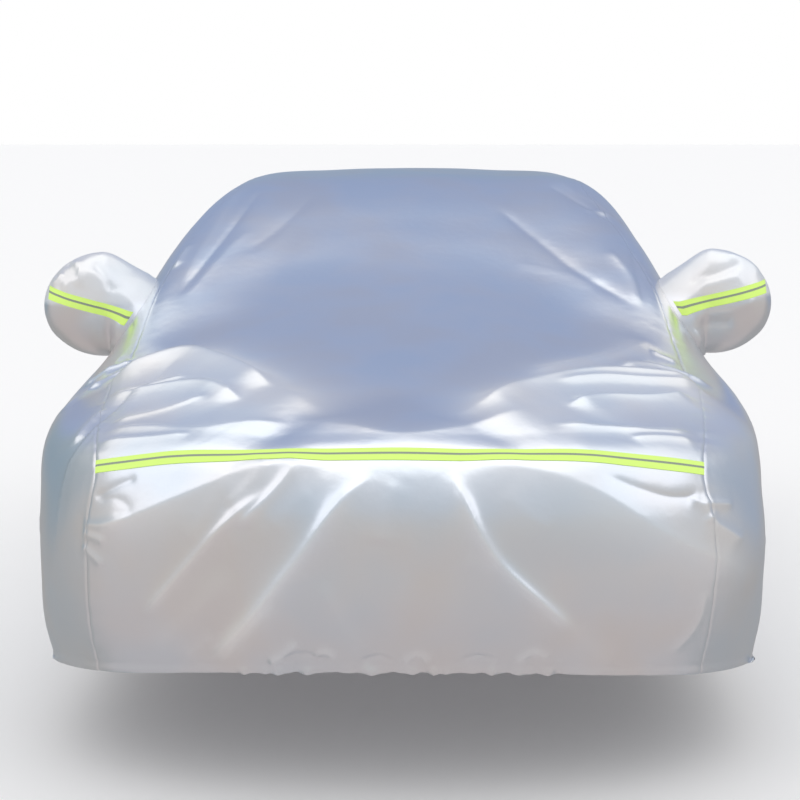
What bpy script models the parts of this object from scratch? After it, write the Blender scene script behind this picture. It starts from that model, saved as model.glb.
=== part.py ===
"""Fitted cover for a saloon car, in coated cloth, as it stretches over the car.

Two side panels are sewn to a long centre panel that runs from the front hem over
the bonnet, roof and boot to the rear hem. A pocket for each door mirror is sewn into
a hole in each side panel. Fluorescent tapes cross the bonnet and the pockets.

The tables give real places: x to the side, s behind the nose, z above the ground.
The part's own frame has its origin under the top of the roof, where the cover is
held up, with +Y to the rear and +Z up. Metres throughout.
"""

import math

import bmesh
import bpy
import numpy as np
from mathutils import Vector

# ---------------------------------------------------------------- driving sizes

CLOTH = 0.0020  # thickness of the coated cloth
TAPE_THICK = 0.0010
SEAM_GAP = 0.0005  # left between two pieces that are sewn edge to edge
TAPE_LIFT = 0.0004  # tape above the cloth that it is sewn to

CENTRE_CELLS = 32  # cells across the centre panel
# Cells from the seam down to the shoulder, from there to the flank, and to the hem.
SIDE_CELLS = (5, 2, 2)

ROOF_S = 2.80  # the place of the origin, under the top of the roof
ROOF_Z = 1.455

# The cover's cross-sections, from the front hem to the rear hem. Each point is a place
# on one long line of the cover: its centre line, a line half way to the seam, the
# seam between centre and side panel, the shoulder, the flank and the side hem.
# rows is the number of mesh rows from this section to the next.
SECTIONS = (
    # name, rows, centre (s, z), mid (s, z), seam, shoulder, flank, hem (x, s, z)
    ("front_hem", 2, (0.060, 0.318), (0.095, 0.308), (0.730, 0.240, 0.272),
     (0.790, 0.305, 0.262), (0.850, 0.400, 0.248), (0.898, 0.520, 0.229)),
    ("front_low", 3, (0.012, 0.430), (0.052, 0.422), (0.745, 0.205, 0.400),
     (0.838, 0.305, 0.388), (0.902, 0.460, 0.345), (0.920, 0.650, 0.214)),
    ("front_mid", 3, (0.000, 0.570), (0.040, 0.560), (0.748, 0.195, 0.530),
     (0.858, 0.325, 0.515), (0.930, 0.560, 0.440), (0.932, 0.790, 0.208)),
    ("front_top", 3, (0.018, 0.715), (0.055, 0.700), (0.742, 0.212, 0.660),
     (0.864, 0.365, 0.635), (0.946, 0.660, 0.500), (0.942, 0.920, 0.206)),
    ("tape_low", 1, (0.092, 0.816), (0.127, 0.803), (0.727, 0.249, 0.755),
     (0.872, 0.425, 0.706), (0.951, 0.745, 0.538), (0.945, 1.035, 0.205)),
    ("tape_high", 2, (0.123, 0.838), (0.158, 0.824), (0.730, 0.280, 0.779),
     (0.878, 0.455, 0.722), (0.952, 0.785, 0.545), (0.945, 1.075, 0.205)),
    ("nose", 4, (0.195, 0.864), (0.235, 0.851), (0.748, 0.400, 0.820),
     (0.898, 0.565, 0.765), (0.954, 0.880, 0.560), (0.945, 1.180, 0.205)),
    ("bonnet", 4, (0.480, 0.928), (0.510, 0.905), (0.768, 0.610, 0.852),
     (0.914, 0.730, 0.806), (0.956, 1.000, 0.580), (0.945, 1.300, 0.205)),
    ("wings", 4, (0.800, 1.005), (0.800, 0.972), (0.776, 0.860, 0.892),
     (0.918, 0.940, 0.843), (0.957, 1.130, 0.600), (0.945, 1.420, 0.205)),
    ("cowl", 3, (1.120, 1.088), (1.120, 1.056), (0.768, 1.130, 0.962),
     (0.908, 1.170, 0.878), (0.958, 1.290, 0.615), (0.945, 1.530, 0.205)),
    ("screen_low", 4, (1.420, 1.175), (1.410, 1.148), (0.745, 1.370, 1.085),
     (0.893, 1.400, 0.898), (0.956, 1.460, 0.630), (0.945, 1.640, 0.205)),
    ("screen_mid", 2, (1.720, 1.280), (1.700, 1.262), (0.692, 1.680, 1.222),
     (0.884, 1.690, 0.915), (0.955, 1.720, 0.645), (0.945, 1.820, 0.205)),
    ("screen_top", 2, (2.000, 1.376), (1.990, 1.366), (0.622, 1.970, 1.334),
     (0.887, 1.970, 0.930), (0.955, 1.980, 0.650), (0.945, 2.020, 0.205)),
    ("header", 1, (2.220, 1.430), (2.215, 1.422), (0.574, 2.200, 1.394),
     (0.890, 2.200, 0.935), (0.955, 2.200, 0.655), (0.945, 2.210, 0.205)),
    ("roof_front", 2, (2.450, 1.452), (2.450, 1.445), (0.562, 2.450, 1.418),
     (0.892, 2.450, 0.940), (0.955, 2.450, 0.655), (0.945, 2.450, 0.205)),
    ("roof_top", 2, (2.800, 1.459), (2.800, 1.452), (0.562, 2.800, 1.424),
     (0.894, 2.800, 0.945), (0.955, 2.800, 0.655), (0.945, 2.800, 0.205)),
    ("roof_rear", 2, (3.180, 1.436), (3.180, 1.429), (0.574, 3.170, 1.400),
     (0.893, 3.160, 0.950), (0.955, 3.160, 0.655), (0.945, 3.160, 0.205)),
    ("rear_screen", 2, (3.580, 1.318), (3.570, 1.308), (0.628, 3.540, 1.272),
     (0.888, 3.500, 0.955), (0.955, 3.480, 0.655), (0.945, 3.460, 0.205)),
    ("boot_front", 2, (3.960, 1.160), (3.950, 1.150), (0.700, 3.900, 1.110),
     (0.880, 3.790, 0.950), (0.955, 3.720, 0.650), (0.945, 3.640, 0.205)),
    ("boot_rear", 2, (4.400, 1.062), (4.380, 1.055), (0.735, 4.280, 1.022),
     (0.876, 4.060, 0.935), (0.952, 3.900, 0.640), (0.942, 3.780, 0.207)),
    ("rear_lip", 2, (4.660, 0.985), (4.635, 0.978), (0.742, 4.500, 0.940),
     (0.872, 4.270, 0.880), (0.945, 4.060, 0.600), (0.938, 3.920, 0.210)),
    ("rear_mid", 2, (4.745, 0.740), (4.712, 0.735), (0.748, 4.565, 0.700),
     (0.862, 4.400, 0.660), (0.930, 4.200, 0.500), (0.928, 4.060, 0.214)),
    ("rear_hem", 0, (4.700, 0.330), (4.665, 0.324), (0.735, 4.520, 0.286),
     (0.800, 4.430, 0.270), (0.860, 4.320, 0.250), (0.905, 4.200, 0.226)),
)

# Folds that tension draws in the cloth. Each runs through places seen from the front
# (x, z) on the front face, or from above (x, s) on top, rising by height over a width
# to either side. A negative height is a trough.
FOLDS = (
    # name, seen from, path, width, height
    ("front_left_long", "front", ((-0.09, 0.77), (-0.22, 0.63), (-0.36, 0.44),
                                  (-0.44, 0.33)), 0.038, 0.018),
    ("front_left_thin", "front", ((-0.28, 0.76), (-0.42, 0.66), (-0.62, 0.42)),
     0.032, 0.011),
    ("front_right_long", "front", ((0.13, 0.77), (0.22, 0.60), (0.38, 0.44),
                                   (0.48, 0.33)), 0.036, 0.015),
    ("bonnet_left_main", "top", ((-0.73, 0.78), (-0.56, 1.00), (-0.42, 0.92),
                                 (-0.27, 0.62)), 0.050, 0.016),
    ("bonnet_left_low", "top", ((-0.74, 0.62), (-0.60, 0.70), (-0.48, 0.66)),
     0.042, 0.010),
    ("bonnet_left_dip", "top", ((-0.70, 0.42), (-0.50, 0.50), (-0.34, 0.62)),
     0.040, -0.010),
    ("bonnet_right_main", "top", ((0.74, 0.70), (0.56, 0.90), (0.40, 0.78),
                                  (0.22, 0.55)), 0.050, 0.016),
    ("bonnet_right_high", "top", ((0.74, 0.80), (0.60, 1.08), (0.36, 1.12)),
     0.050, 0.009),
    ("bonnet_right_dip", "top", ((0.70, 0.50), (0.46, 0.46), (0.26, 0.47)),
     0.040, -0.009),
    ("pillar_left", "top", ((-0.74, 1.45), (-0.64, 1.78), (-0.53, 2.12)),
     0.045, -0.012),
    ("screen_right", "top", ((0.66, 1.42), (0.46, 1.72), (0.30, 2.10)), 0.060, -0.012),
    ("corner_right", "top", ((0.62, 1.95), (0.53, 2.10), (0.46, 2.35)), 0.045, 0.010),
)

FOLD_TAPER = (0.08, 0.96)  # the stretch of a half wave that a fold's height follows
FACING_GAIN = 1.6  # how soon a fold dies away where the cloth turns from its view

# Places where loose cloth stands away from the car, pushed out by height.
PUFFS = (
    # name, place (x, s, z), radius, height
    ("right_roof_corner", (0.570, 2.30, 1.395), 0.180, 0.012),
    ("left_wing_end", (-0.860, 0.700, 0.780), 0.220, 0.010),
    ("right_front_corner", (0.850, 0.340, 0.560), 0.170, 0.014),
)

# The hole for a mirror in each side panel: its mesh rows, counted from one section,
# and its cells below the seam.
HOLE_SECTION = "screen_low"
HOLE_ROWS = 4
HOLE_FIRST_CELL = 1
HOLE_CELLS = 4
HOLE_FADE = 1.6  # mesh lines this many half holes from its middle are straight again

# A mirror pocket, ring by ring from its neck to its tip: how far out (x), the ring's
# middle (s, z) and its half length and half height.
POCKET_RINGS = (
    # name, x, middle (s, z), half length, half height
    ("swell", 0.890, (1.530, 1.063), 0.116, 0.154),
    ("body", 0.940, (1.520, 1.066), 0.120, 0.155),
    ("wide", 0.995, (1.510, 1.066), 0.116, 0.138),
    ("outer", 1.035, (1.505, 1.067), 0.100, 0.113),
    ("shoulder", 1.066, (1.500, 1.065), 0.074, 0.079),
    ("end", 1.084, (1.500, 1.066), 0.042, 0.042),
)
POCKET_COLLAR = 0.012  # the pocket rises straight out of its hole over this
POCKET_NECK = 0.45  # a ring this share of the way from the collar to the first ring
POCKET_SQUARENESS = 2.3  # 2 is an ellipse, more fills the corners
POCKET_LIFT = {"left": 0.0, "right": 0.012}  # the right one sits a little higher
POCKET_TIP = 1.092
POCKET_TAPE_WIDTH = 0.038
# Height of the tape's middle on each pocket, at its neck and at its tip.
POCKET_TAPE_RISE = {"left": (1.031, 1.106), "right": (1.063, 1.127)}
POCKET_TAPE_REACH = (0.805, 1.066)
POCKET_TAPE_RINGS = 7  # rings that it crosses, from the collar out
MOST_RING_HEIGHT = 0.9  # its edges stay within this share of a ring's half height
FRONT_POINTS = 4  # points on a ring's front, below the tape's upper edge
OVAL_STEPS = 721  # steps in which a ring's outline is measured

# Flat colour, roughness and metallic value for each kind of piece.
MATERIALS = {
    "coated_cloth": ((0.55, 0.60, 0.68, 1.0), 0.38, 0.35),
    "fluorescent_tape": ((0.52, 0.95, 0.08, 1.0), 0.55, 0.0),
}


# ---------------------------------------------------------------- smooth lines


def smooth_curve(knots, points, places):
    """The points' smooth curve over their knots, read at each place."""
    knots = np.asarray(knots, float)
    points = np.asarray(points, float)
    step = np.diff(knots)[:, None]
    slope = np.diff(points, axis=0) / step
    tangent = np.empty_like(points)
    tangent[0] = slope[0]
    tangent[-1] = slope[-1]
    tangent[1:-1] = (slope[:-1] * step[1:] + slope[1:] * step[:-1]) / (
        step[:-1] + step[1:]
    )
    span = np.clip(np.searchsorted(knots, places, side="right") - 1, 0, len(knots) - 2)
    width = step[span]
    u = ((np.asarray(places, float) - knots[span])[:, None]) / width
    before = points[span] * (1 + 2 * u) * (1 - u) ** 2
    after = points[span + 1] * u * u * (3 - 2 * u)
    leaving = tangent[span] * width * u * (1 - u) ** 2
    arriving = tangent[span + 1] * width * u * u * (u - 1)
    return before + after + leaving + arriving


def section_points(row):
    """One section's points from the left hem over the top to the right hem."""
    centre, mid, seam, shoulder, flank, hem = row[2:]
    middle = (seam[0] / 2, *mid)
    half = [(0.0, *centre), middle, seam, shoulder, flank, hem]
    left = [(-x, s, z) for x, s, z in half[:0:-1]]
    return np.array(left + half)


def column_knots():
    """The cell count at each of a section's points, and at each mesh column."""
    halves = (CENTRE_CELLS / 4, CENTRE_CELLS / 4, *SIDE_CELLS)
    half = np.concatenate([[0.0], np.cumsum(halves)])
    return np.concatenate([-half[:0:-1], half])


def row_places():
    """Where each mesh row lies, counted in sections, and each section's first row."""
    places, first = [], {}
    for number, row in enumerate(SECTIONS):
        first[row[0]] = len(places)
        count = max(row[1], 1)
        places += [number + step / count for step in range(count)]
    return np.array(places), first


ROW_PLACES, FIRST_ROW = row_places()
COLUMN_KNOTS = column_knots()
ROWS = len(ROW_PLACES) - 1
COLUMNS = int(round(COLUMN_KNOTS[-1] - COLUMN_KNOTS[0]))
SEAM_COLUMNS = (sum(SIDE_CELLS), sum(SIDE_CELLS) + CENTRE_CELLS)


def knots_by_distance(points):
    """Knots spaced by how far the section points lie apart, one column at a time."""
    steps = np.linalg.norm(np.diff(points, axis=0), axis=2)
    return np.concatenate([np.zeros((1, steps.shape[1])), np.cumsum(steps, axis=0)])


def draped_grid():
    """Places (x, s, z) on the cover's outer face, by mesh row and mesh column."""
    sections = np.array([section_points(row) for row in SECTIONS])
    knots = knots_by_distance(sections)
    whole = np.arange(len(SECTIONS))
    along = np.empty((len(ROW_PLACES), *sections.shape[1:]))
    for column in range(sections.shape[1]):
        distance = np.interp(ROW_PLACES, whole, knots[:, column])
        along[:, column] = smooth_curve(knots[:, column], sections[:, column], distance)
    columns = np.arange(COLUMNS + 1) + COLUMN_KNOTS[0]
    cells = np.arange(len(COLUMN_KNOTS))
    grid = np.empty((len(ROW_PLACES), COLUMNS + 1, 3))
    for number, line in enumerate(along):
        reach = np.linalg.norm(np.diff(line, axis=0), axis=1)
        distance = np.concatenate([[0.0], np.cumsum(reach)])
        places = np.interp(np.interp(columns, COLUMN_KNOTS, cells), cells, distance)
        grid[number] = smooth_curve(distance, line, places)
    return grid


def grid_normals(grid):
    """Outward unit normals of the grid."""
    down = np.gradient(grid, axis=0)
    across = np.gradient(grid, axis=1)
    normal = np.cross(across, down)
    return normal / np.linalg.norm(normal, axis=2, keepdims=True)


# ---------------------------------------------------------------- folds


def distance_to_path(places, path):
    """Each place's distance to a path, and how far along the path it lies, 0 to 1."""
    path = np.asarray(path, float)
    reach = np.linalg.norm(np.diff(path, axis=0), axis=1)
    start = np.concatenate([[0.0], np.cumsum(reach)])
    nearest = np.full(places.shape[:-1], np.inf)
    along = np.zeros(places.shape[:-1])
    for number, length in enumerate(reach):
        run = path[number + 1] - path[number]
        share = np.clip((places - path[number]) @ run / length**2, 0, 1)
        gap = np.linalg.norm(places - path[number] - share[..., None] * run, axis=-1)
        closer = gap < nearest
        nearest = np.where(closer, gap, nearest)
        along = np.where(closer, (start[number] + share * length) / start[-1], along)
    return nearest, along


def fold_heights(grid, normals):
    """How far the folds and the puffs lift each place of the grid."""
    seen = {
        "front": (grid[..., [0, 2]], np.clip(-normals[..., 1] * FACING_GAIN, 0, 1)),
        "top": (grid[..., [0, 1]], np.clip(normals[..., 2] * FACING_GAIN, 0, 1)),
    }
    total = np.zeros(grid.shape[:2])
    for _name, side, path, width, height in FOLDS:
        places, facing = seen[side]
        gap, along = distance_to_path(places, path)
        taper = np.sin(math.pi * np.interp(along, (0, 1), FOLD_TAPER))
        total += height * np.exp(-((gap / width) ** 2)) * taper * facing
    for _name, place, radius, height in PUFFS:
        gap = np.linalg.norm(grid - place, axis=-1)
        total += height * np.exp(-((gap / radius) ** 2))
    # The rear half of the cover is behind the roof's top, and lies smooth.
    return total * np.where(grid[..., 1] < ROOF_S, 1.0, 0.0)


def rounded_hole(grid, first_row, first_column):
    """Moves the grid's points so that a block of its cells becomes round."""
    middle_row = first_row + HOLE_ROWS / 2
    middle_column = first_column + HOLE_CELLS / 2
    rows = np.arange(grid.shape[0], dtype=float)[:, None]
    columns = np.arange(grid.shape[1], dtype=float)[None, :]
    a = (rows - middle_row) / (HOLE_ROWS / 2)
    b = (columns - middle_column) / (HOLE_CELLS / 2)
    square = np.maximum(np.abs(a), np.abs(b))
    round_share = square / np.maximum(np.hypot(a, b), 1e-9)
    nearness = np.clip(HOLE_FADE - square, 0, HOLE_FADE - 1) / (HOLE_FADE - 1)
    shrink = 1 - nearness * (1 - round_share)
    new_row = middle_row + a * shrink * (HOLE_ROWS / 2)
    new_column = middle_column + b * shrink * (HOLE_CELLS / 2)
    return sample(grid, new_row, new_column)


def sample(grid, row, column):
    """The grid read between its points."""
    r = np.clip(np.floor(row).astype(int), 0, grid.shape[0] - 2)
    c = np.clip(np.floor(column).astype(int), 0, grid.shape[1] - 2)
    u = (row - r)[..., None]
    v = (column - c)[..., None]
    near = grid[r, c] * (1 - v) + grid[r, c + 1] * v
    far = grid[r + 1, c] * (1 - v) + grid[r + 1, c + 1] * v
    return near * (1 - u) + far * u


def hole_corner(side):
    """The first row and first column of a side's mirror hole."""
    first_row = FIRST_ROW[HOLE_SECTION]
    if side == "right":
        return first_row, SEAM_COLUMNS[1] + HOLE_FIRST_CELL
    return first_row, SEAM_COLUMNS[0] - HOLE_FIRST_CELL - HOLE_CELLS


def cover_surface():
    """Places and normals of the whole outer face, in the part's own frame."""
    grid = draped_grid()
    normals = grid_normals(grid)
    grid = grid + normals * fold_heights(grid, normals)[..., None]
    for side in ("left", "right"):
        grid = rounded_hole(grid, *hole_corner(side))
    return grid - np.array([0.0, ROOF_S, ROOF_Z]), grid_normals(grid)


# ---------------------------------------------------------------- cloth pieces


def sheet_mesh(surface, normals, rows, columns, hole=None):
    """A mesh of one block of the cover's cells, with its normals kept in a layer."""
    mesh = bmesh.new()
    row_count = rows[1] - rows[0]
    column_count = columns[1] - columns[0]
    bmesh.ops.create_grid(
        mesh, x_segments=column_count, y_segments=row_count, size=0.5
    )
    layer = mesh.verts.layers.float_vector.new("outward")
    removed = []
    for vert in mesh.verts:
        row = rows[0] + round((vert.co.y + 0.5) * row_count)
        column = columns[0] + round((vert.co.x + 0.5) * column_count)
        vert.co = surface[row, column]
        vert[layer] = normals[row, column]
        if hole and hole[0] < row < hole[0] + HOLE_ROWS:
            if hole[1] < column < hole[1] + HOLE_CELLS:
                removed.append(vert)
    bmesh.ops.delete(mesh, geom=removed, context="VERTS")
    bmesh.ops.recalc_face_normals(mesh, faces=mesh.faces)
    return mesh


def draw_back_edges(mesh, gap):
    """Moves the open edges back into the sheet, to leave room for a seam."""
    moves = []
    for vert in mesh.verts:
        if not vert.is_boundary:
            continue
        inner = [edge.other_vert(vert) for edge in vert.link_edges]
        inner = [other for other in inner if not other.is_boundary]
        if not inner:
            continue
        way = sum((other.co - vert.co for other in inner), Vector()).normalized()
        moves.append((vert, way * gap))
    for vert, move in moves:
        vert.co += move


def thicken(mesh, outer, inner):
    """Makes the sheet a solid between two distances along its outward normals."""
    layer = mesh.verts.layers.float_vector["outward"]
    made = bmesh.ops.extrude_face_region(mesh, geom=mesh.faces[:], use_keep_orig=True)
    below = {item for item in made["geom"] if isinstance(item, bmesh.types.BMVert)}
    for vert in mesh.verts:
        vert.co += vert[layer] * (inner if vert in below else outer)
    bmesh.ops.triangulate(mesh, faces=mesh.faces[:], quad_method="FIXED")
    bmesh.ops.recalc_face_normals(mesh, faces=mesh.faces)


def material_for(kind):
    material = bpy.data.materials.get(kind)
    if material:
        return material
    colour, roughness, metallic = MATERIALS[kind]
    material = bpy.data.materials.new(kind)
    material.use_nodes = True
    shader = material.node_tree.nodes["Principled BSDF"]
    shader.inputs["Base Color"].default_value = colour
    shader.inputs["Roughness"].default_value = roughness
    shader.inputs["Metallic"].default_value = metallic
    return material


def add_piece(name, mesh, kind):
    data = bpy.data.meshes.new(name)
    mesh.to_mesh(data)
    mesh.free()
    data.materials.append(material_for(kind))
    data.shade_smooth()
    data.set_sharp_from_angle(angle=math.radians(40))
    piece = bpy.data.objects.new(name, data)
    bpy.context.scene.collection.objects.link(piece)
    return piece


def add_panels(surface, normals):
    whole = (0, ROWS)
    left, right = SEAM_COLUMNS
    blocks = (
        ("centre_panel", (left, right), None),
        ("side_panel_left", (0, left), hole_corner("left")),
        ("side_panel_right", (right, COLUMNS), hole_corner("right")),
    )
    for name, columns, hole in blocks:
        mesh = sheet_mesh(surface, normals, whole, columns, hole)
        draw_back_edges(mesh, SEAM_GAP / 2)
        thicken(mesh, 0.0, -CLOTH)
        add_piece(name, mesh, "coated_cloth")


def add_bonnet_tape(surface, normals):
    rows = (FIRST_ROW["tape_low"], FIRST_ROW["tape_high"])
    mesh = sheet_mesh(surface, normals, rows, SEAM_COLUMNS)
    thicken(mesh, TAPE_LIFT + TAPE_THICK, TAPE_LIFT)
    add_piece("bonnet_tape", mesh, "fluorescent_tape")


# ---------------------------------------------------------------- mirror pockets


def hole_rim(side):
    """Row and column of each point on the hole's edge, from the one at the tape's upper
    edge, up over the top and round to the one at its lower edge."""
    row, column = hole_corner(side)
    last_row = row + HOLE_ROWS
    last_column = column + HOLE_CELLS
    steps = [(row, c) for c in range(column, last_column)]
    steps += [(r, last_column) for r in range(row, last_row)]
    steps += [(last_row, c) for c in range(last_column, column, -1)]
    steps += [(r, column) for r in range(last_row, row, -1)]
    if side == "right":
        steps.reverse()
    upper = steps.index((row, column if side == "right" else last_column))
    return steps[upper:] + steps[:upper]


def oval(middle, half_length, half_height, angles):
    """Places (s, z) on a pocket's ring. Angle 0 faces forward, and a quarter turn up."""
    power = 2 / POCKET_SQUARENESS
    cos, sin = np.cos(angles), np.sin(angles)
    s = middle[0] - half_length * np.sign(cos) * np.abs(cos) ** power
    z = middle[1] + half_height * np.sign(sin) * np.abs(sin) ** power
    return np.stack([s, z], axis=1)


def ring_places(ring, side, count):
    """The ring's points, evenly spaced but for the two at the edges of the tape."""
    _name, x, (s, z), half_length, half_height = ring
    z += POCKET_LIFT[side]
    fine = np.linspace(-math.pi, math.pi, OVAL_STEPS)
    outline = oval((s, z), half_length, half_height, fine)
    front = np.abs(fine) < math.pi / 2
    reach = MOST_RING_HEIGHT * half_height
    edges = np.clip(tape_edges(x, side), z - reach, z + reach)
    upper, lower = np.interp(edges, outline[front, 1], fine[front])
    turn = np.linspace(upper, lower + 2 * math.pi, OVAL_STEPS)
    outline = oval((s, z), half_length, half_height, turn)
    reach = np.linalg.norm(np.diff(outline, axis=0), axis=1)
    length = np.concatenate([[0.0], np.cumsum(reach)])
    even = np.interp(np.linspace(0, length[-1], count), length, turn)
    places = oval((s, z), half_length, half_height, even)
    out = -x if side == "left" else x
    return np.column_stack([np.full(count, out), places])


def pocket_rings(surface, normals, side):
    """Each ring's places in the part's own frame, from the hole to the tip."""
    rim = hole_rim(side)
    edge = np.array([surface[place] for place in rim])
    outward = np.array([normals[place] for place in rim])
    inward = edge.mean(axis=0) - edge
    inward /= np.linalg.norm(inward, axis=1, keepdims=True)
    root = edge + inward * SEAM_GAP / 2 - outward * CLOTH
    collar = edge + inward * SEAM_GAP + outward * POCKET_COLLAR
    origin = np.array([0.0, ROOF_S, ROOF_Z])
    free = [ring_places(ring, side, len(rim)) - origin for ring in POCKET_RINGS]
    neck = collar + (free[0] - collar) * POCKET_NECK
    return [root, marked_ring(collar, side), marked_ring(neck, side), *free]


def tape_edges(x, side):
    """Height above the ground of the tape's upper and lower edge on a pocket."""
    middle = np.interp(x, POCKET_TAPE_REACH, POCKET_TAPE_RISE[side])
    return middle + POCKET_TAPE_WIDTH / 2, middle - POCKET_TAPE_WIDTH / 2


def marked_ring(ring, side):
    """The ring with its first and last points moved along it to the tape's edges."""
    front = np.roll(ring, FRONT_POINTS, axis=0)[: FRONT_POINTS + 2]
    edges = np.array(tape_edges(abs(ring[0, 0]), side)) - ROOF_Z
    marked = ring.copy()
    for axis in range(3):
        marked[0, axis], marked[-1, axis] = np.interp(edges, front[:, 2], front[:, axis])
    return marked


def pocket_mesh(rings, tip):
    """The pocket's outer face: a tube through its rings, closed at its tip."""
    mesh = bmesh.new()
    count = len(rings[0])
    bmesh.ops.create_circle(mesh, segments=count, radius=1.0)
    loop = list(mesh.verts)
    edges = list(mesh.edges)
    place_ring(loop, rings[0])
    for ring in rings[1:]:
        made = bmesh.ops.extrude_edge_only(mesh, edges=edges)["geom"]
        loop = [item for item in made if isinstance(item, bmesh.types.BMVert)]
        edges = [item for item in made if isinstance(item, bmesh.types.BMEdge)]
        edges = [edge for edge in edges if edge.is_boundary]
        place_ring(loop, ring)
    cap = bmesh.ops.contextual_create(mesh, geom=edges)["faces"]
    point = bmesh.ops.poke(mesh, faces=cap)["verts"][0]
    point.co = tip
    return mesh


def place_ring(loop, places):
    for vert, place in zip(loop, places):
        vert.co = place


def turn_outward(mesh):
    """Turns the faces of an open shell outward and keeps the normals in a layer."""
    bmesh.ops.recalc_face_normals(mesh, faces=mesh.faces)
    middle = sum((vert.co for vert in mesh.verts), Vector()) / len(mesh.verts)
    facing = sum((f.calc_center_median() - middle).dot(f.normal) for f in mesh.faces)
    if facing < 0:
        bmesh.ops.reverse_faces(mesh, faces=mesh.faces)
    mesh.normal_update()
    layer = mesh.verts.layers.float_vector.new("outward")
    for vert in mesh.verts:
        vert[layer] = vert.normal


def add_mirror_pocket(surface, normals, side):
    rings = pocket_rings(surface, normals, side)
    height = POCKET_RINGS[-1][2][1] + POCKET_LIFT[side] - ROOF_Z
    out = -POCKET_TIP if side == "left" else POCKET_TIP
    tip = Vector((out, POCKET_RINGS[-1][2][0] - ROOF_S, height))
    mesh = pocket_mesh(rings, tip)
    turn_outward(mesh)
    tape = pocket_tape_mesh(mesh, rings)
    thicken(mesh, 0.0, -CLOTH)
    add_piece(f"mirror_pocket_{side}", mesh, "coated_cloth")
    thicken(tape, TAPE_LIFT + TAPE_THICK, TAPE_LIFT)
    add_piece(f"mirror_tape_{side}", tape, "fluorescent_tape")


def pocket_tape_mesh(pocket, rings):
    """The pocket's faces that the tape covers, between its two marked points."""
    mesh = pocket.copy()
    kept = set()
    for ring in rings[1 : 1 + POCKET_TAPE_RINGS]:
        kept |= {tuple(np.round(ring[0], 5)), tuple(np.round(ring[-1], 5))}
    outside = [v for v in mesh.verts if tuple(np.round(v.co, 5)) not in kept]
    bmesh.ops.delete(mesh, geom=outside, context="VERTS")
    return mesh


def main():
    for thing in list(bpy.data.objects):
        bpy.data.objects.remove(thing)
    surface, normals = cover_surface()
    add_panels(surface, normals)
    add_bonnet_tape(surface, normals)
    for side in ("left", "right"):
        add_mirror_pocket(surface, normals, side)


main()
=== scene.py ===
"""Fitted cover in metallised film cloth, in the shape to which it stretches in use.

Two side panels are sewn to a long centre panel that runs from the front hem over the
bonnet, roof and boot to the rear hem. A mirror pocket is sewn into a hole in each side
panel. Fluorescent tapes cross the bonnet and the pockets.

The tables give real places: x to the side, s behind the nose, z above the ground. The
tables of sections and folds are in millimetres, and everything else is in metres. The
part's own frame has its origin under the top of the roof, with +Y to the rear.
"""

import math

import bmesh
import bpy
import numpy as np
from bpy.props import FloatProperty, FloatVectorProperty, PointerProperty
from bpy.types import Operator, Panel, PropertyGroup
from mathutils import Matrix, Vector, noise


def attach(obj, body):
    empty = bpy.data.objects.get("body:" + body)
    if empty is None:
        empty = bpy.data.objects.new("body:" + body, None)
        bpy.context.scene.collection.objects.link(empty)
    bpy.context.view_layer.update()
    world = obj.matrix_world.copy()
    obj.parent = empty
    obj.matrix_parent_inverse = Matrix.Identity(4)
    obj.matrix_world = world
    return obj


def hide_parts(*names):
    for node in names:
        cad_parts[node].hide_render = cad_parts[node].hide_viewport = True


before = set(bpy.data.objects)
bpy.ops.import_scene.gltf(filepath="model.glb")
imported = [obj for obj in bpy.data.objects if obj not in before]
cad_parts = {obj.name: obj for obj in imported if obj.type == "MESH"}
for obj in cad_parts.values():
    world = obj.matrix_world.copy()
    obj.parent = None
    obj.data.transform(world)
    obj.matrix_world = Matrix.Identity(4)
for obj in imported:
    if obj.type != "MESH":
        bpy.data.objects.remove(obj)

bl_info = {
    "name": "Fitted car cover",
    "version": (1, 0, 0),
    "blender": (4, 5, 0),
    "location": "3D View > Sidebar > Car cover",
    "description": "Builds the cloth, pockets, tapes and sewing of a fitted car cover",
    "category": "Object",
}

# ---------------------------------------------------------------- driving sizes

ROOF_S = 2.80  # the place of the origin, under the top of the roof
ROOF_Z = 1.455
ORIGIN = np.array([0.0, ROOF_S, ROOF_Z])
MM_PER_M = 1000
TINY = 1e-9  # keeps a division away from zero
SIDES = {"left": -1, "right": 1}  # the sign of x on each side

CENTRE_CELLS = 32  # cells of the cover's plan across the centre panel
SIDE_CELLS = (5, 2, 2)  # from the seam to the shoulder, to the flank and to the hem

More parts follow.
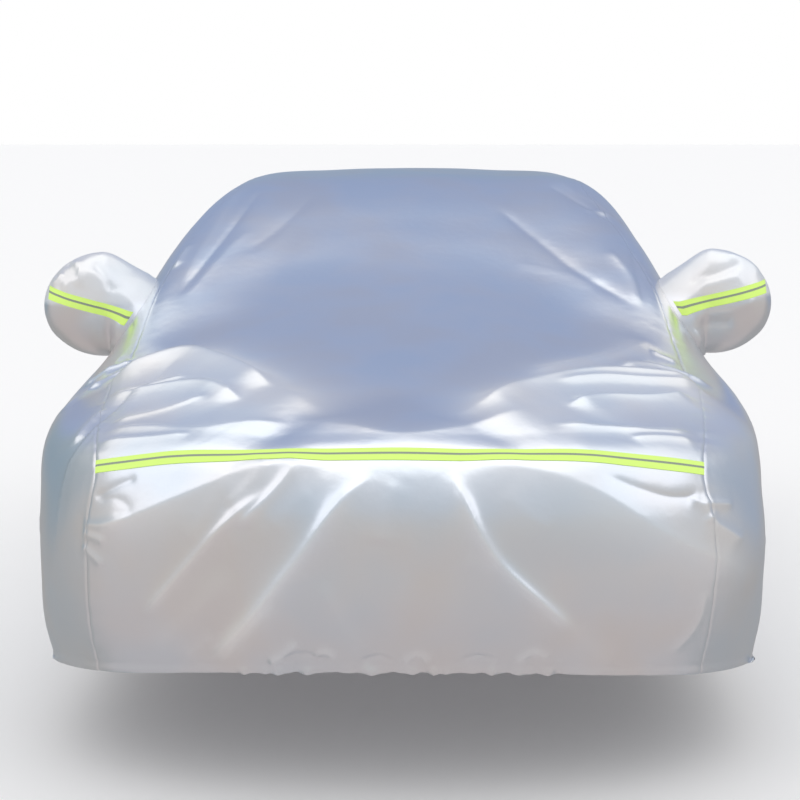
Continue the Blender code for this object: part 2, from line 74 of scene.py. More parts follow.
# The cover's cross-sections in millimetres, from the front hem to the rear hem. Each
# point is on one long line of the cover: its centre line, a line half way to the seam,
# the seam between centre and side panel, the shoulder, the flank and the side hem.
# rows is the number of mesh rows from this section to the next.
SECTIONS = (
    # name, rows, centre (s, z), mid (s, z), seam, shoulder, flank, hem (x, s, z)
    ("front_hem", 23, (60, 318), (95, 308), (730, 240, 272),
     (790, 305, 262), (850, 400, 248), (898, 520, 229)),
    ("front_low", 28, (12, 430), (52, 422), (745, 205, 400),
     (838, 305, 388), (902, 460, 345), (920, 650, 214)),
    ("front_mid", 29, (0, 570), (40, 560), (748, 195, 530),
     (858, 325, 515), (930, 560, 440), (932, 790, 208)),
    ("front_top", 26, (18, 715), (55, 700), (742, 212, 660),
     (864, 365, 635), (946, 660, 500), (942, 920, 206)),
    ("tape_low", 7, (92, 816), (127, 803), (727, 249, 755),
     (872, 425, 706), (951, 745, 538), (945, 1035, 205)),
    ("tape_high", 16, (123, 838), (158, 824), (730, 280, 779),
     (878, 455, 722), (952, 785, 545), (945, 1075, 205)),
    ("nose", 38, (195, 864), (235, 851), (748, 400, 820),
     (898, 565, 765), (954, 880, 560), (945, 1180, 205)),
    ("bonnet", 42, (480, 928), (510, 905), (768, 610, 852),
     (914, 730, 806), (956, 1000, 580), (945, 1300, 205)),
    ("wings", 36, (800, 1005), (800, 972), (776, 860, 892),
     (918, 940, 843), (957, 1130, 600), (945, 1420, 205)),
    ("cowl", 26, (1120, 1088), (1120, 1056), (768, 1130, 962),
     (908, 1170, 878), (958, 1290, 615), (945, 1530, 205)),
    ("screen_low", 24, (1420, 1175), (1410, 1148), (745, 1370, 1085),
     (893, 1400, 898), (956, 1460, 630), (945, 1640, 205)),
    ("screen_mid", 20, (1720, 1280), (1700, 1262), (692, 1680, 1222),
     (884, 1690, 915), (955, 1720, 645), (945, 1820, 205)),
    ("screen_top", 14, (2000, 1376), (1990, 1366), (622, 1970, 1334),
     (887, 1970, 930), (955, 1980, 650), (945, 2020, 205)),
    ("header", 10, (2220, 1430), (2215, 1422), (574, 2200, 1394),
     (890, 2200, 935), (955, 2200, 655), (945, 2210, 205)),
    ("roof_front", 8, (2450, 1452), (2450, 1445), (562, 2450, 1418),
     (892, 2450, 940), (955, 2450, 655), (945, 2450, 205)),
    ("roof_top", 8, (2800, 1459), (2800, 1452), (562, 2800, 1424),
     (894, 2800, 945), (955, 2800, 655), (945, 2800, 205)),
    ("roof_rear", 9, (3180, 1436), (3180, 1429), (574, 3170, 1400),
     (893, 3160, 950), (955, 3160, 655), (945, 3160, 205)),
    ("rear_screen", 9, (3580, 1318), (3570, 1308), (628, 3540, 1272),
     (888, 3500, 955), (955, 3480, 655), (945, 3460, 205)),
    ("boot_front", 9, (3960, 1160), (3950, 1150), (700, 3900, 1110),
     (880, 3790, 950), (955, 3720, 650), (945, 3640, 205)),
    ("boot_rear", 7, (4400, 1062), (4380, 1055), (735, 4280, 1022),
     (876, 4060, 935), (952, 3900, 640), (942, 3780, 207)),
    ("rear_lip", 7, (4660, 985), (4635, 978), (742, 4500, 940),
     (872, 4270, 880), (945, 4060, 600), (938, 3920, 210)),
    ("rear_mid", 9, (4745, 740), (4712, 735), (748, 4565, 700),
     (862, 4400, 660), (930, 4200, 500), (928, 4060, 214)),
    ("rear_hem", 0, (4700, 330), (4665, 324), (735, 4520, 286),
     (800, 4430, 270), (860, 4320, 250), (905, 4200, 226)),
)

# Where the mesh lines fall within one cell of the plan, as shares of the cell.
PLAIN_CELL = 7  # even lines on the centre panel
HOLE_CELL = 5  # even lines where the mirror pockets are sewn in
SIDE_CELL = 8  # even lines from the shoulder to the flank
SKIRT_CELL = 12  # even lines below the flank
CENTRE_SEAM_CELL = (0, 0.15, 0.3, 0.44, 0.58, 0.7, 0.82, 0.92)
SIDE_SEAM_CELL = (0, 0.08, 0.18, 0.3, 0.44, 0.6, 0.8)
HEM_CELL = (0, 0.1, 0.2, 0.3, 0.4, 0.5, 0.6, 0.7, 0.8, 0.88, 0.93, 0.96, 0.98)
HEM_ROW = (0, 0.02, 0.045, 0.08, 0.12, 0.17, 0.22)  # of the last section

# Folds that tension draws in the cloth, in millimetres. Each runs through places seen
# from the front (x, z), from above (x, s) or from a side (s, z), and rises by height.
# Its flanks fall away over the widths to the left and right of its path, which become
# the given share of that at its far end. Its crest is rounded over the length crest. A
# negative height is a trough.
FOLDS = (
    # name, seen from, path, (left, right) widths, far share, crest, height
    # --- the front face
    ("front_left_long", "front", ((-50, 790), (-110, 745), (-250, 570), (-340, 455), (-460, 325)),
     (28, 20), 0.6, 2, 19),
    ("front_left_pair", "front", ((-280, 500), (-350, 420), (-430, 330)), (12, 9), 0.9, 2, 6),
    ("front_left_thin", "front", ((-300, 750), (-410, 660), (-490, 570), (-610, 430)),
     (18, 12), 0.8, 2, 12),
    ("front_left_short", "front", ((-220, 810), (-290, 740), (-370, 665)), (18, 12), 0.6, 3, 9),
    ("front_left_upper", "front", ((-290, 800), (-350, 750), (-400, 710)), (20, 20), 0.8, 8, 3),
    ("front_left_faint", "front", ((-380, 780), (-420, 730), (-490, 620)), (20, 20), 0.8, 8, 3),
    ("front_left_soft", "front", ((-200, 760), (-250, 710), (-290, 660)), (20, 20), 1, 10, 2),
    ("front_left_low", "front", ((-380, 570), (-450, 490), (-600, 340)), (22, 22), 0.9, 10, 3),
    ("front_left_hem", "front", ((-430, 410), (-510, 340)), (12, 12), 0.8, 5, 3),
    ("front_mid_soft", "front", ((0, 780), (-30, 700), (-40, 630)), (22, 22), 0.8, 10, 3),
    ("front_mid_low", "front", ((-180, 550), (-130, 460), (-70, 360)), (14, 14), 1, 6, 2),
    ("front_right_long", "front", ((120, 800), (160, 720), (230, 600), (330, 500), (430, 410)),
     (14, 25), 0.65, 2, 17),
    ("front_right_end", "front", ((400, 430), (510, 330)), (16, 24), 1.4, 10, 3),
    ("front_right_soft", "front", ((240, 750), (290, 710), (360, 660)), (18, 18), 0.9, 8, 2),
    ("front_right_low", "front", ((150, 600), (230, 570)), (14, 14), 1, 8, 1.5),
    # --- the lip, where the bonnet turns down to the front face
    ("lip_left", "front", ((-760, 620), (-630, 670), (-470, 740), (-360, 785), (-150, 805)),
     (55, 45), 0.5, 4, 14),
    ("lip_right", "front", ((130, 810), (320, 790), (470, 735), (620, 640), (760, 560), (880, 480)),
     (45, 55), 1.4, 4, 13),
    ("lip_right_dip", "front", ((470, 775), (570, 740), (640, 720), (730, 715)), (8, 12), 1.2, 3, -5),
    ("lip_left_crease", "front", ((-730, 700), (-680, 730), (-610, 760)), (9, 9), 1, 4, -4),
    ("lip_left_loop", "front", ((-720, 700), (-650, 705), (-630, 690), (-670, 665)), (8, 8), 1, 4, -2),
    ("lip_centre", "top", ((-280, 290), (-130, 240), (0, 185), (170, 240), (340, 340)),
     (40, 75), 1, 6, 10),
    ("seam_left_a", "front", ((-760, 640), (-680, 650), (-620, 675)), (8, 10), 1, 4, 6),
    ("seam_left_b", "front", ((-760, 620), (-690, 610)), (9, 9), 0.8, 4, 6),
    ("seam_left_c", "front", ((-760, 590), (-700, 550)), (8, 8), 0.8, 4, 5),
    ("seam_right_a", "front", ((690, 715), (720, 690), (740, 650)), (8, 8), 1, 4, 6),
    ("seam_right_b", "front", ((710, 700), (800, 680)), (9, 9), 0.8, 4, 6),
    ("seam_right_c", "front", ((720, 670), (820, 590)), (12, 12), 0.8, 5, 6),
    ("seam_right_low", "front", ((730, 500), (710, 410), (680, 370), (640, 340)), (8, 10), 1, 5, 4),
    ("hem_crumple_a", "front", ((-300, 340), (-260, 370), (-230, 400)), (10, 8), 1, 3, 9),
    ("hem_crumple_b", "front", ((-270, 350), (-220, 365), (-160, 350)), (7, 7), 1, 2, -8),
    ("hem_crumple_c", "front", ((-200, 350), (-170, 375), (-140, 360)), (7, 7), 1, 2, 8),
    ("hem_crumple_d", "front", ((-90, 345), (-40, 360), (0, 345)), (7, 7), 1, 2, -8),
    ("hem_crumple_e", "front", ((10, 345), (50, 370), (80, 350)), (7, 7), 1, 2, 7),
    ("hem_crumple_f", "front", ((140, 345), (190, 360), (240, 345)), (7, 7), 1, 2, -8),
    ("hem_crumple_g", "front", ((270, 345), (320, 370), (360, 350)), (7, 7), 1, 2, 7),
    # --- the left of the bonnet
    ("bonnet_left_crown", "top", ((-860, 860), (-720, 860), (-580, 870), (-460, 720), (-300, 460),
         (-160, 280)), (50, 180), 2, 20, 36),
    ("bonnet_left_arc", "top", ((-820, 820), (-700, 845), (-580, 855), (-480, 745), (-310, 470)),
     (16, 75), 2, 6, 29),
    ("bonnet_left_under", "top", ((-770, 710), (-680, 680), (-540, 660)), (12, 16), 0.8, 4, 9),
    ("bonnet_left_band", "top", ((-790, 680), (-700, 635), (-520, 570), (-380, 400)),
     (14, 52), 1.8, 4, 23),
    ("bonnet_left_shade", "top", ((-720, 430), (-610, 420), (-470, 460)), (14, 20), 0.9, 4, 10),
    ("bonnet_left_low", "top", ((-740, 400), (-600, 330), (-480, 270), (-360, 270), (-250, 260)),
     (12, 28), 1.8, 3, 7),
    ("bonnet_left_line", "top", ((-740, 345), (-600, 275), (-490, 245)), (8, 20), 1, 2, 6),
    ("bonnet_left_high", "top", ((-860, 910), (-800, 965), (-690, 970)), (12, 24), 0.8, 3, 11),
    ("bonnet_left_far", "top", ((-890, 1000), (-840, 1050), (-750, 1060)), (12, 20), 0.8, 3, 10),
    ("wing_left_fold", "top", ((-820, 440), (-760, 600)), (12, 12), 1, 6, 7),
    ("wing_left_long", "top", ((-920, 780), (-840, 980), (-800, 1200)), (18, 18), 0.7, 8, 6),
    # --- the right of the bonnet
    ("bonnet_right_crown", "top", ((120, 270), (260, 420), (400, 580), (540, 690), (700, 770),
         (860, 860)), (80, 360), 0.55, 20, 34),
    ("bonnet_right_arc", "top", ((180, 330), (300, 480), (410, 595), (520, 680), (660, 750),
         (830, 840)), (22, 65), 0.6, 3, 22),
    ("bonnet_right_twin", "top", ((380, 530), (520, 635), (640, 695), (800, 800)), (8, 16), 1, 2, 8),
    ("bonnet_right_wedge", "top", ((400, 380), (500, 480), (620, 550), (750, 680)),
     (20, 75), 0.65, 4, 23),
    ("bonnet_right_low", "top", ((360, 265), (490, 290), (600, 320), (730, 390)), (9, 26), 1, 2, 10),
    ("bonnet_right_line", "top", ((550, 260), (720, 350)), (7, 14), 1, 2, 5),
    ("bonnet_right_blue", "top", ((310, 630), (410, 740), (530, 870), (690, 1130)),
     (34, 40), 1, 10, 14),
    ("bonnet_right_upper", "top", ((570, 830), (670, 920), (760, 950), (850, 940)),
     (12, 34), 0.9, 3, 14),
    ("bonnet_right_small", "top", ((680, 1040), (760, 1040)), (10, 16), 0.9, 3, 8),
    ("bonnet_right_spot", "top", ((700, 880), (780, 860)), (8, 10), 0.9, 3, 3),
    # --- the slope to the roof, its edges and the roof's front corners
    ("pillar_left", "top", ((-670, 1310), (-620, 1480), (-530, 1850), (-480, 2140)),
     (12, 12), 1.1, 5, -5),
    ("pillar_left_strip", "top", ((-680, 1360), (-610, 1780), (-550, 2200)), (18, 18), 1.1, 10, 4),
    ("pillar_left_inner", "top", ((-650, 1300), (-550, 1600), (-480, 1780)), (16, 16), 0.9, 10, 2),
    ("screen_left_dip", "top", ((-500, 1570), (-410, 1740), (-300, 2060)), (18, 18), 0.8, 10, -2),
    ("pillar_left_spark", "top", ((-700, 1540), (-670, 1690)), (12, 12), 0.8, 5, 7),
    ("screen_right", "top", ((270, 1940), (410, 1660), (520, 1450), (670, 1260)), (16, 16), 0.9, 8, -4),
    ("corner_right_dip", "top", ((450, 2160), (600, 1920), (670, 1860)), (14, 14), 0.8, 6, -5),
    ("corner_right_line", "top", ((560, 1910), (700, 1980)), (9, 9), 0.9, 4, 6),
    ("corner_right_band", "top", ((480, 2240), (570, 2060), (660, 2000)), (18, 18), 0.9, 10, 3),
    ("pillar_right_face", "top", ((680, 1280), (670, 1450), (610, 1630)), (18, 20), 0.9, 6, 6),
    ("pillar_right_dark", "top", ((700, 1780), (690, 1550), (690, 1280)), (10, 10), 1, 5, -5),
    ("screen_right_low", "top", ((310, 1520), (440, 1470), (580, 1380)), (30, 30), 1, 20, 2),
    # --- the sides
    ("left_arch_front", "left", ((620, 500), (780, 660), (1020, 700)), (40, 30), 1.2, 12, 8),
    ("left_door_long", "left", ((1620, 840), (2100, 620), (2600, 400)), (40, 28), 1.3, 10, 9),
    ("left_door_second", "left", ((1750, 920), (2350, 800), (3050, 700)), (34, 22), 1.3, 10, 7),
    ("left_sill", "left", ((1350, 340), (1900, 280), (2500, 300)), (30, 24), 1, 12, -6),
    ("left_arch_rear", "left", ((3100, 400), (3400, 660), (3800, 720)), (40, 30), 1.2, 12, 8),
    ("left_window_fall", "left", ((2600, 1280), (2750, 1080), (2950, 900)), (24, 30), 1.2, 10, 7),
    ("right_arch_front", "right", ((600, 460), (800, 640), (1060, 720)), (40, 30), 1.2, 12, 8),
    ("right_door_long", "right", ((1660, 820), (2020, 640), (2480, 360)), (40, 26), 1.3, 10, 10),
    ("right_door_second", "right", ((1800, 900), (2500, 840), (3200, 660)), (36, 24), 1.3, 10, 6),
    ("right_sill", "right", ((1500, 300), (2100, 270), (2800, 330)), (28, 26), 1, 12, -6),
    ("right_arch_rear", "right", ((3060, 380), (3420, 640), (3860, 700)), (40, 32), 1.2, 12, 9),
    ("right_window_fall", "right", ((2450, 1300), (2520, 1100), (2660, 920)), (22, 30), 1.2, 10, 7),
)

LOOSE_LIFT = 0.026  # where folds lift the cloth this far, its looseness is 1
FOLD_TAPER = 0.18  # share of a fold's length over which either end dies away
FACING_GAIN = 1.6  # how soon a fold dies away where the cloth turns from its view
PATH_STEPS = 24  # straight steps in a fold's smooth path

# Places where loose cloth bulges outwards, by height.
PUFFS = (
    # name, place (x, s, z), radius, height
    ("right_roof_corner", (0.57, 2.3, 1.395), 0.18, 0.012),
    ("left_wing_end", (-0.86, 0.7, 0.78), 0.22, 0.01),
    ("right_front_corner", (0.85, 0.34, 0.56), 0.17, 0.014),
)

# Slow waves of slack cloth: a noise of this size, and how far it lifts the cloth.
WAVES = (
    # name, size, height, seed
    ("slack", 0.42, 0.0025, 3.1),
    ("ripple", 0.13, 0.0008, 17.7),
)

# The gathers that the elastic draws along each hem.
GATHERS = (
    # name, edge, from, to, spacing, height, reach, seed
    ("front_middle", "front", -0.36, 0.38, 0.036, 0.012, 0.026, 11),
    ("front_left", "front", -0.72, -0.36, 0.06, 0.0025, 0.03, 12),
    ("front_right", "front", 0.38, 0.72, 0.06, 0.0025, 0.03, 13),
    ("rear", "rear", -0.7, 0.7, 0.032, 0.007, 0.045, 14),
    ("left_side", "left", 0.6, 4.1, 0.11, 0.0045, 0.08, 15),
    ("right_side", "right", 0.6, 4.1, 0.11, 0.0045, 0.08, 16),
)
# The range of each gather's measures, as shares of the spacing, height and reach.
GATHER_WIDTHS = (0.22, 0.42)
GATHER_RISES = (0.35, 1.0)
GATHER_WAYS = (-0.6, 1.0)  # a gather dips or stands up
GATHER_LEANS = (-0.5, 0.5)  # sideways for each metre from the hem
GATHER_REACHES = (0.6, 1.6)
GATHER_STEPS = (0.6, 1.4)

# The hole for a mirror, in cells of the plan: the section where it starts, its middle
# cell and its half height in cells. Lines this many half holes away are straight.
HOLE_SECTION = "screen_low"
HOLE_MIDDLE = 19
HOLE_HALF = 2
HOLE_FADE = 1.6

# A mirror pocket, ring by ring from its neck to its tip: how far out (x), the ring's
# middle (s, z) and its half length and half height.
POCKET_RINGS = (
    # name, x, middle (s, z), half length, half height
    ("swell", 0.89, (1.53, 1.063), 0.116, 0.154),
    ("body", 0.94, (1.52, 1.066), 0.12, 0.155),
    ("wide", 0.995, (1.51, 1.066), 0.116, 0.138),
    ("outer", 1.035, (1.505, 1.067), 0.1, 0.113),
    ("shoulder", 1.066, (1.5, 1.065), 0.074, 0.079),
    ("end", 1.084, (1.5, 1.066), 0.042, 0.042),
)
POCKET_COLLAR = 0.012  # the pocket rises straight out of its hole over this
POCKET_NECK = 0.45  # a ring this share of the way from the collar to the first ring
POCKET_SQUARENESS = (1.6, 2.4)  # above and below: 2 is an ellipse, more fills corners
POCKET_LIFT = {"left": 0.0, "right": 0.012}  # the right one sits a little higher
POCKET_TIP = 1.092
POCKET_STEPS = (2, 3, 5, 6, 7, 7, 6, 5, 5)  # fine rings from each ring to the next
POCKET_LOOSE = 0.01  # the looseness grows by 1 over this height above the tape
POCKET_LOOSEST = 1.3  # and goes no further
POCKET_TAPE_WIDTH = 0.038
POCKET_TAPE_RISE = {"left": (1.031, 1.106), "right": (1.063, 1.127)}  # z of its ends
POCKET_TAPE_REACH = (0.805, 1.066)  # x of its ends
POCKET_TAPE_LINES = 6  # mesh lines across the tape
POCKET_TAPE_SPANS = 7  # the tape ends after this many of the steps in POCKET_STEPS
POCKET_PUCKER = (0.024, 0.004, 0.03)  # spacing, height and reach from the neck
POCKET_TUCK = (0.003, 0.01)  # how deep and wide the cloth dips at the seam
OVAL_STEPS = 721  # steps in which a ring's outline is measured

# Creases in the pockets, seen from the front, given as in the table of folds.
POCKET_FOLDS = (
    # name, side, path (x, z), (left, right) widths, far share, crest, height
    ("left_tip_pucker", "left", ((-1060, 1150), (-1030, 1185), (-1000, 1195)), (10, 8), 1, 2, -12),
    ("left_tip_small", "left", ((-1055, 1125), (-1020, 1160)), (8, 6), 1, 2, 9),
    ("left_top_crease", "left", ((-990, 1200), (-970, 1150), (-980, 1120)), (16, 7), 1, 2, 12),
    ("left_top_bulge", "left", ((-1030, 1110), (-950, 1160), (-870, 1130)), (24, 30), 1, 6, 12),
    ("left_top_soft", "left", ((-940, 1200), (-900, 1150), (-870, 1100)), (12, 10), 0.9, 3, -8),
    ("left_neck_a", "left", ((-800, 1160), (-900, 1190)), (14, 14), 0.8, 6, -6),
    ("left_neck_b", "left", ((-800, 1080), (-920, 1120)), (12, 14), 0.9, 6, 4),
    ("left_neck_c", "left", ((-820, 960), (-920, 980)), (12, 16), 1, 6, -4),
    ("right_top_a", "right", ((830, 1140), (920, 1170), (1000, 1200)), (12, 10), 1, 3, -10),
    ("right_top_b", "right", ((860, 1120), (1000, 1160)), (12, 12), 1, 3, 10),
    ("right_top_c", "right", ((950, 1220), (1020, 1200), (1060, 1160)), (10, 10), 1, 3, 8),
    ("right_under_band", "right", ((840, 1040), (950, 1060), (1040, 1090)), (12, 14), 1, 4, 7),
    ("right_crumple", "right", ((840, 1000), (900, 1020), (970, 1020)), (10, 12), 1, 4, -7),
    ("right_pucker", "right", ((820, 950), (860, 960)), (9, 9), 1, 4, -9),
)

# The seams, and the casing that holds the elastic along the hem.
SEAM_BEAD = (0.009, 0.007, 0.0004)  # its place from the seam, width and height
SEAM_VALLEY = (0.004, 0.001)  # width and depth of the line where the panels meet
SEAM_PUCKER = (0.034, 0.002, 0.03)  # spacing, height and reach into the panel
HEM_BEAD = (0.008, 0.008, 0.003)  # its place from the hem's edge, width and height
HEM_LINE = (0.026, 0.006, 0.0012)  # place, width and depth of its line of stitches
EDGE_TURN = ((0.0015, 0.0), (0.004, 0.01))  # in, and back under the cloth, by step
SHARP_ANGLE = 50  # degrees, beyond which an edge is shaded sharp

# The finishes: patterns on the film and the band on the tape.
TINT_SCALE = 3.2  # patches of tint about 300 mm across
TINT_ENDS = (0.36, 0.64)  # where the noise gives the cool and the warm tint
CRINKLE_SCALE = 38.0  # creases about 26 mm apart
FILM_METALLIC = (0.9, 0.1)  # share of mirrored light at looseness 0 and LIMP
LIMP = 2.0
TAPE_BAND = (0.46, 0.63)  # from and to, as shares of the tape's width

CAMERA_PLACE = (0.09, -7.3, 0.095)
CAMERA_PITCH = 7.334  # degrees below the horizon
CAMERA_TURN = 1.05  # degrees to the left
CAMERA_LENS = 90.0
CAMERA_SENSOR = 36.0
CAMERA_SIGHT = 6000.0  # the camera sees this far
FLOOR_HALF = 1500.0  # so far out that its edge meets the horizon

# The studio that the film reflects: soft round patches laid over a plain surrounding, in
# degrees. Azimuth 0 is behind the cover as the camera sees it, and 90 to its right.
STUDIO_LIGHTS = (
    # name, azimuth, elevation, full within, gone beyond, colour, strength
    ("rear_left", -50, -25, 30, 44, "#A3A3A3", 1),
    ("rear_right", 50, -25, 30, 44, "#A3A3A5", 1),
    ("rear_left_high", -45, 22, 22, 36, "#8296A4", 1),
    ("rear_right_high", 45, 22, 22, 36, "#93A0B4", 1),
    ("rear_sky", 0, 32, 26, 36, "#8799C0", 1),
    ("rear_sky_low", 0, 5, 8, 13, "#8197AA", 1),
    ("side_sky_left", -57, 46, 12, 19, "#F2F6FC", 1.2),
    ("side_sky_right", 57, 48, 12, 19, "#F2F6FC", 1.2),
    ("overhead", 0, 82, 24, 29, "#FAFCFF", 1.5),
    ("front_left", -100, 46, 17, 24, "#F6F8FF", 1.3),
    ("front_right", 100, 46, 17, 24, "#F6F8FF", 1.3),
)
SURROUNDING = (
    # name, height of the direction (0 down, 0.5 level, 1 up), colour
    ("ground", 0.30, "#BDB6B6"),
    ("level", 0.52, "#BFBBB8"),
    ("front_sky", 0.80, "#B9C1CB"),
    ("zenith", 0.98, "#D8DDE6"),
)


# ---------------------------------------------------------------- colours


def linear(hex_colour):
    """An sRGB hex colour as linear red, green and blue, with a full alpha."""
    parts = [int(hex_colour[i : i + 2], 16) / 255 for i in (1, 3, 5)]
    parts = [p / 12.92 if p <= 0.04045 else ((p + 0.055) / 1.055) ** 2.4 for p in parts]
    return (*parts, 1.0)


# ---------------------------------------------------------------- settings


def length_property(name, description, default):
    """A setting in metres."""
    return FloatProperty(
        name=name, description=description, default=default, unit="LENGTH", subtype="DISTANCE"
    )


def colour_property(name, description, hex_colour):
    """A colour setting with its sRGB hex default."""
    return FloatVectorProperty(
        name=name, description=description, default=linear(hex_colour), size=4, min=0.0,
        max=1.0, subtype="COLOR",
    )


class CarCoverSizes(PropertyGroup):
    """The sizes that a user would change"""

    cloth: length_property("Cloth", "Thickness of the film cloth", 0.002)
    seam_gap: length_property("Seam gap", "Room between panels sewn edge to edge", 0.0005)
    tape: length_property("Tape", "Thickness of the fluorescent tape", 0.001)
    tape_lift: length_property("Tape lift", "Tape above the cloth it is sewn to", 0.0004)
    fold_depth: FloatProperty(
        name="Fold depth",
        description="Scales the height of every tension fold",
        default=1.0,
        subtype="FACTOR",
    )


class CarCoverColours(PropertyGroup):
    """The colours that a user would change"""

    film: colour_property("Film", "Silver of the metallised film", "#EBEDF0")
    film_warm: colour_property("Warm film", "Where the film catches warm tints", "#EDEBEA")
    film_cool: colour_property("Cool film", "Where the film catches cool tints", "#E6ECF2")
    tape: colour_property("Tape", "Fluorescent yellow-green of the tape", "#D8FA7C")
    band: colour_property("Band", "Reflective grey band along the tape", "#8C9787")
    floor: colour_property("Floor", "Pale studio floor", "#FBFBFC")


# ---------------------------------------------------------------- smooth lines


def smooth_curve(knots, points, places):
    """The points' smooth curve over their knots, read at each place."""
    knots = np.asarray(knots, float)
    points = np.asarray(points, float)
    step = np.diff(knots)[:, None]
    slope = np.diff(points, axis=0) / step
    tangent = np.empty_like(points)
    tangent[0] = slope[0]
    tangent[-1] = slope[-1]
    tangent[1:-1] = (slope[:-1] * step[1:] + slope[1:] * step[:-1]) / (
        step[:-1] + step[1:]
    )
    span = np.clip(np.searchsorted(knots, places, side="right") - 1, 0, len(knots) - 2)
    width = step[span]
    u = ((np.asarray(places, float) - knots[span])[:, None]) / width
    before = points[span] * (1 + 2 * u) * (1 - u) ** 2
    after = points[span + 1] * u * u * (3 - 2 * u)
    leaving = tangent[span] * width * u * (1 - u) ** 2
    arriving = tangent[span + 1] * width * u * u * (u - 1)
    return before + after + leaving + arriving


def distances(points, axis=0):
    """How far each point lies along its line from the line's first point."""
    reach = np.linalg.norm(np.diff(points, axis=axis), axis=-1)
    start = np.zeros_like(np.take(reach, [0], axis=axis))
    return np.concatenate([start, np.cumsum(reach, axis=axis)], axis=axis)


def section_points(row):
    """One section's points in metres, from the left hem over the top to the right hem."""
    centre, mid, seam, shoulder, flank, hem = row[2:]
    middle = (seam[0] / 2, *mid)
    half = [(0.0, *centre), middle, seam, shoulder, flank, hem]
    left = [(-x, s, z) for x, s, z in half[:0:-1]]
    return np.array(left + half) / MM_PER_M


def plan_cells():
    """The cell of the plan at each of a section's points."""
    halves = (CENTRE_CELLS / 4, CENTRE_CELLS / 4, *SIDE_CELLS)
    half = np.concatenate([[0.0], np.cumsum(halves)])
    return np.concatenate([-half[:0:-1], half])


def column_places():
    """The place of each mesh column, in cells of the plan, from the left to the right."""
    seam = CENTRE_CELLS // 2
    shoulder, flank, hem = seam + np.cumsum(SIDE_CELLS)
    lines = [cell + np.arange(PLAIN_CELL) / PLAIN_CELL for cell in range(seam - 1)]
    lines.append(seam - 1 + np.array(CENTRE_SEAM_CELL))
    lines.append(seam + np.array(SIDE_SEAM_CELL))
    for cell in range(seam + 1, hem):
        count = HOLE_CELL if cell < shoulder else SIDE_CELL if cell < flank else SKIRT_CELL
        shares = HEM_CELL if cell == hem - 1 else np.arange(count) / count
        lines.append(cell + np.array(shares))
    half = np.concatenate([*lines, [hem]])
    return np.concatenate([-half[:0:-1], half])


def row_places():
    """The place of each mesh row, counted in sections, and each section's first row."""
    last = len(SECTIONS) - 2
    places, first = [], {}
    for number, (name, count, *_points) in enumerate(SECTIONS):
        first[name] = len(places)
        shares = np.arange(max(count, 1)) / max(count, 1)
        if number == last:
            near = 1 - np.array(HEM_ROW[:0:-1])
            shares = np.concatenate([shares[shares < near[0]], near])
        places += list(number + shares)
    return np.array(places), first


CELLS = plan_cells()
COLUMN_PLACES = column_places()
ROW_PLACES, FIRST_ROW = row_places()
ROWS = len(ROW_PLACES) - 1
COLUMNS = len(COLUMN_PLACES) - 1


def column_at(cell):
    """The mesh column on a line of the plan."""
    return int(np.argmin(np.abs(COLUMN_PLACES - cell)))


SEAM_COLUMNS = (column_at(-CENTRE_CELLS / 2), column_at(CENTRE_CELLS / 2))


def draped_grid():
    """Places (x, s, z) on the cover's outer face, by mesh row and mesh column."""
    sections = np.array([section_points(row) for row in SECTIONS])
    knots = distances(sections)
    whole = np.arange(len(SECTIONS))
    along = np.empty((ROWS + 1, *sections.shape[1:]))
    for line in range(sections.shape[1]):
        distance = np.interp(ROW_PLACES, whole, knots[:, line])
        along[:, line] = smooth_curve(knots[:, line], sections[:, line], distance)
    points = np.interp(COLUMN_PLACES, CELLS, np.arange(len(CELLS)))
    grid = np.empty((ROWS + 1, COLUMNS + 1, 3))
    for number, line in enumerate(along):
        distance = distances(line)
        places = np.interp(points, np.arange(len(CELLS)), distance)
        grid[number] = smooth_curve(distance, line, places)
    return grid


def grid_normals(grid):
    """Outward unit normals of the grid."""
    normal = np.cross(np.gradient(grid, axis=1), np.gradient(grid, axis=0))
    return normal / np.linalg.norm(normal, axis=2, keepdims=True)


def sample(grid, row, column):
    """The grid read between its points."""
    r = np.clip(np.floor(row).astype(int), 0, grid.shape[0] - 2)
    c = np.clip(np.floor(column).astype(int), 0, grid.shape[1] - 2)
    u = (row - r)[..., None]
    v = (column - c)[..., None]
    near = grid[r, c] * (1 - v) + grid[r, c + 1] * v
    far = grid[r + 1, c] * (1 - v) + grid[r + 1, c + 1] * v
    return near * (1 - u) + far * u


def rounded_hole(grid, side):
    """Moves the grid's points so that the block of cells at the hole becomes round."""
    rows, columns = hole_block(side)
    half_rows = (rows[1] - rows[0]) / 2
    half_columns = (columns[1] - columns[0]) / 2
    a = (np.arange(ROWS + 1)[:, None] - np.mean(rows)) / half_rows
    b = (np.arange(COLUMNS + 1)[None, :] - np.mean(columns)) / half_columns
    square = np.maximum(np.abs(a), np.abs(b))
    round_share = square / np.maximum(np.hypot(a, b), TINY)
    nearness = np.clip(HOLE_FADE - square, 0, HOLE_FADE - 1) / (HOLE_FADE - 1)
    shrink = 1 - nearness * (1 - round_share)
    new_row = np.mean(rows) + a * shrink * half_rows
    new_column = np.mean(columns) + b * shrink * half_columns
    return sample(grid, new_row, new_column)


def hole_block(side):
    """The first and last mesh row and column of a side's mirror hole."""
    first = FIRST_ROW[HOLE_SECTION]
    last = first + next(row[1] for row in SECTIONS if row[0] == HOLE_SECTION)
    columns = [column_at(SIDES[side] * (HOLE_MIDDLE + way * HOLE_HALF)) for way in (-1, 1)]
    return (first, last), (min(columns), max(columns))


# ---------------------------------------------------------------- folds


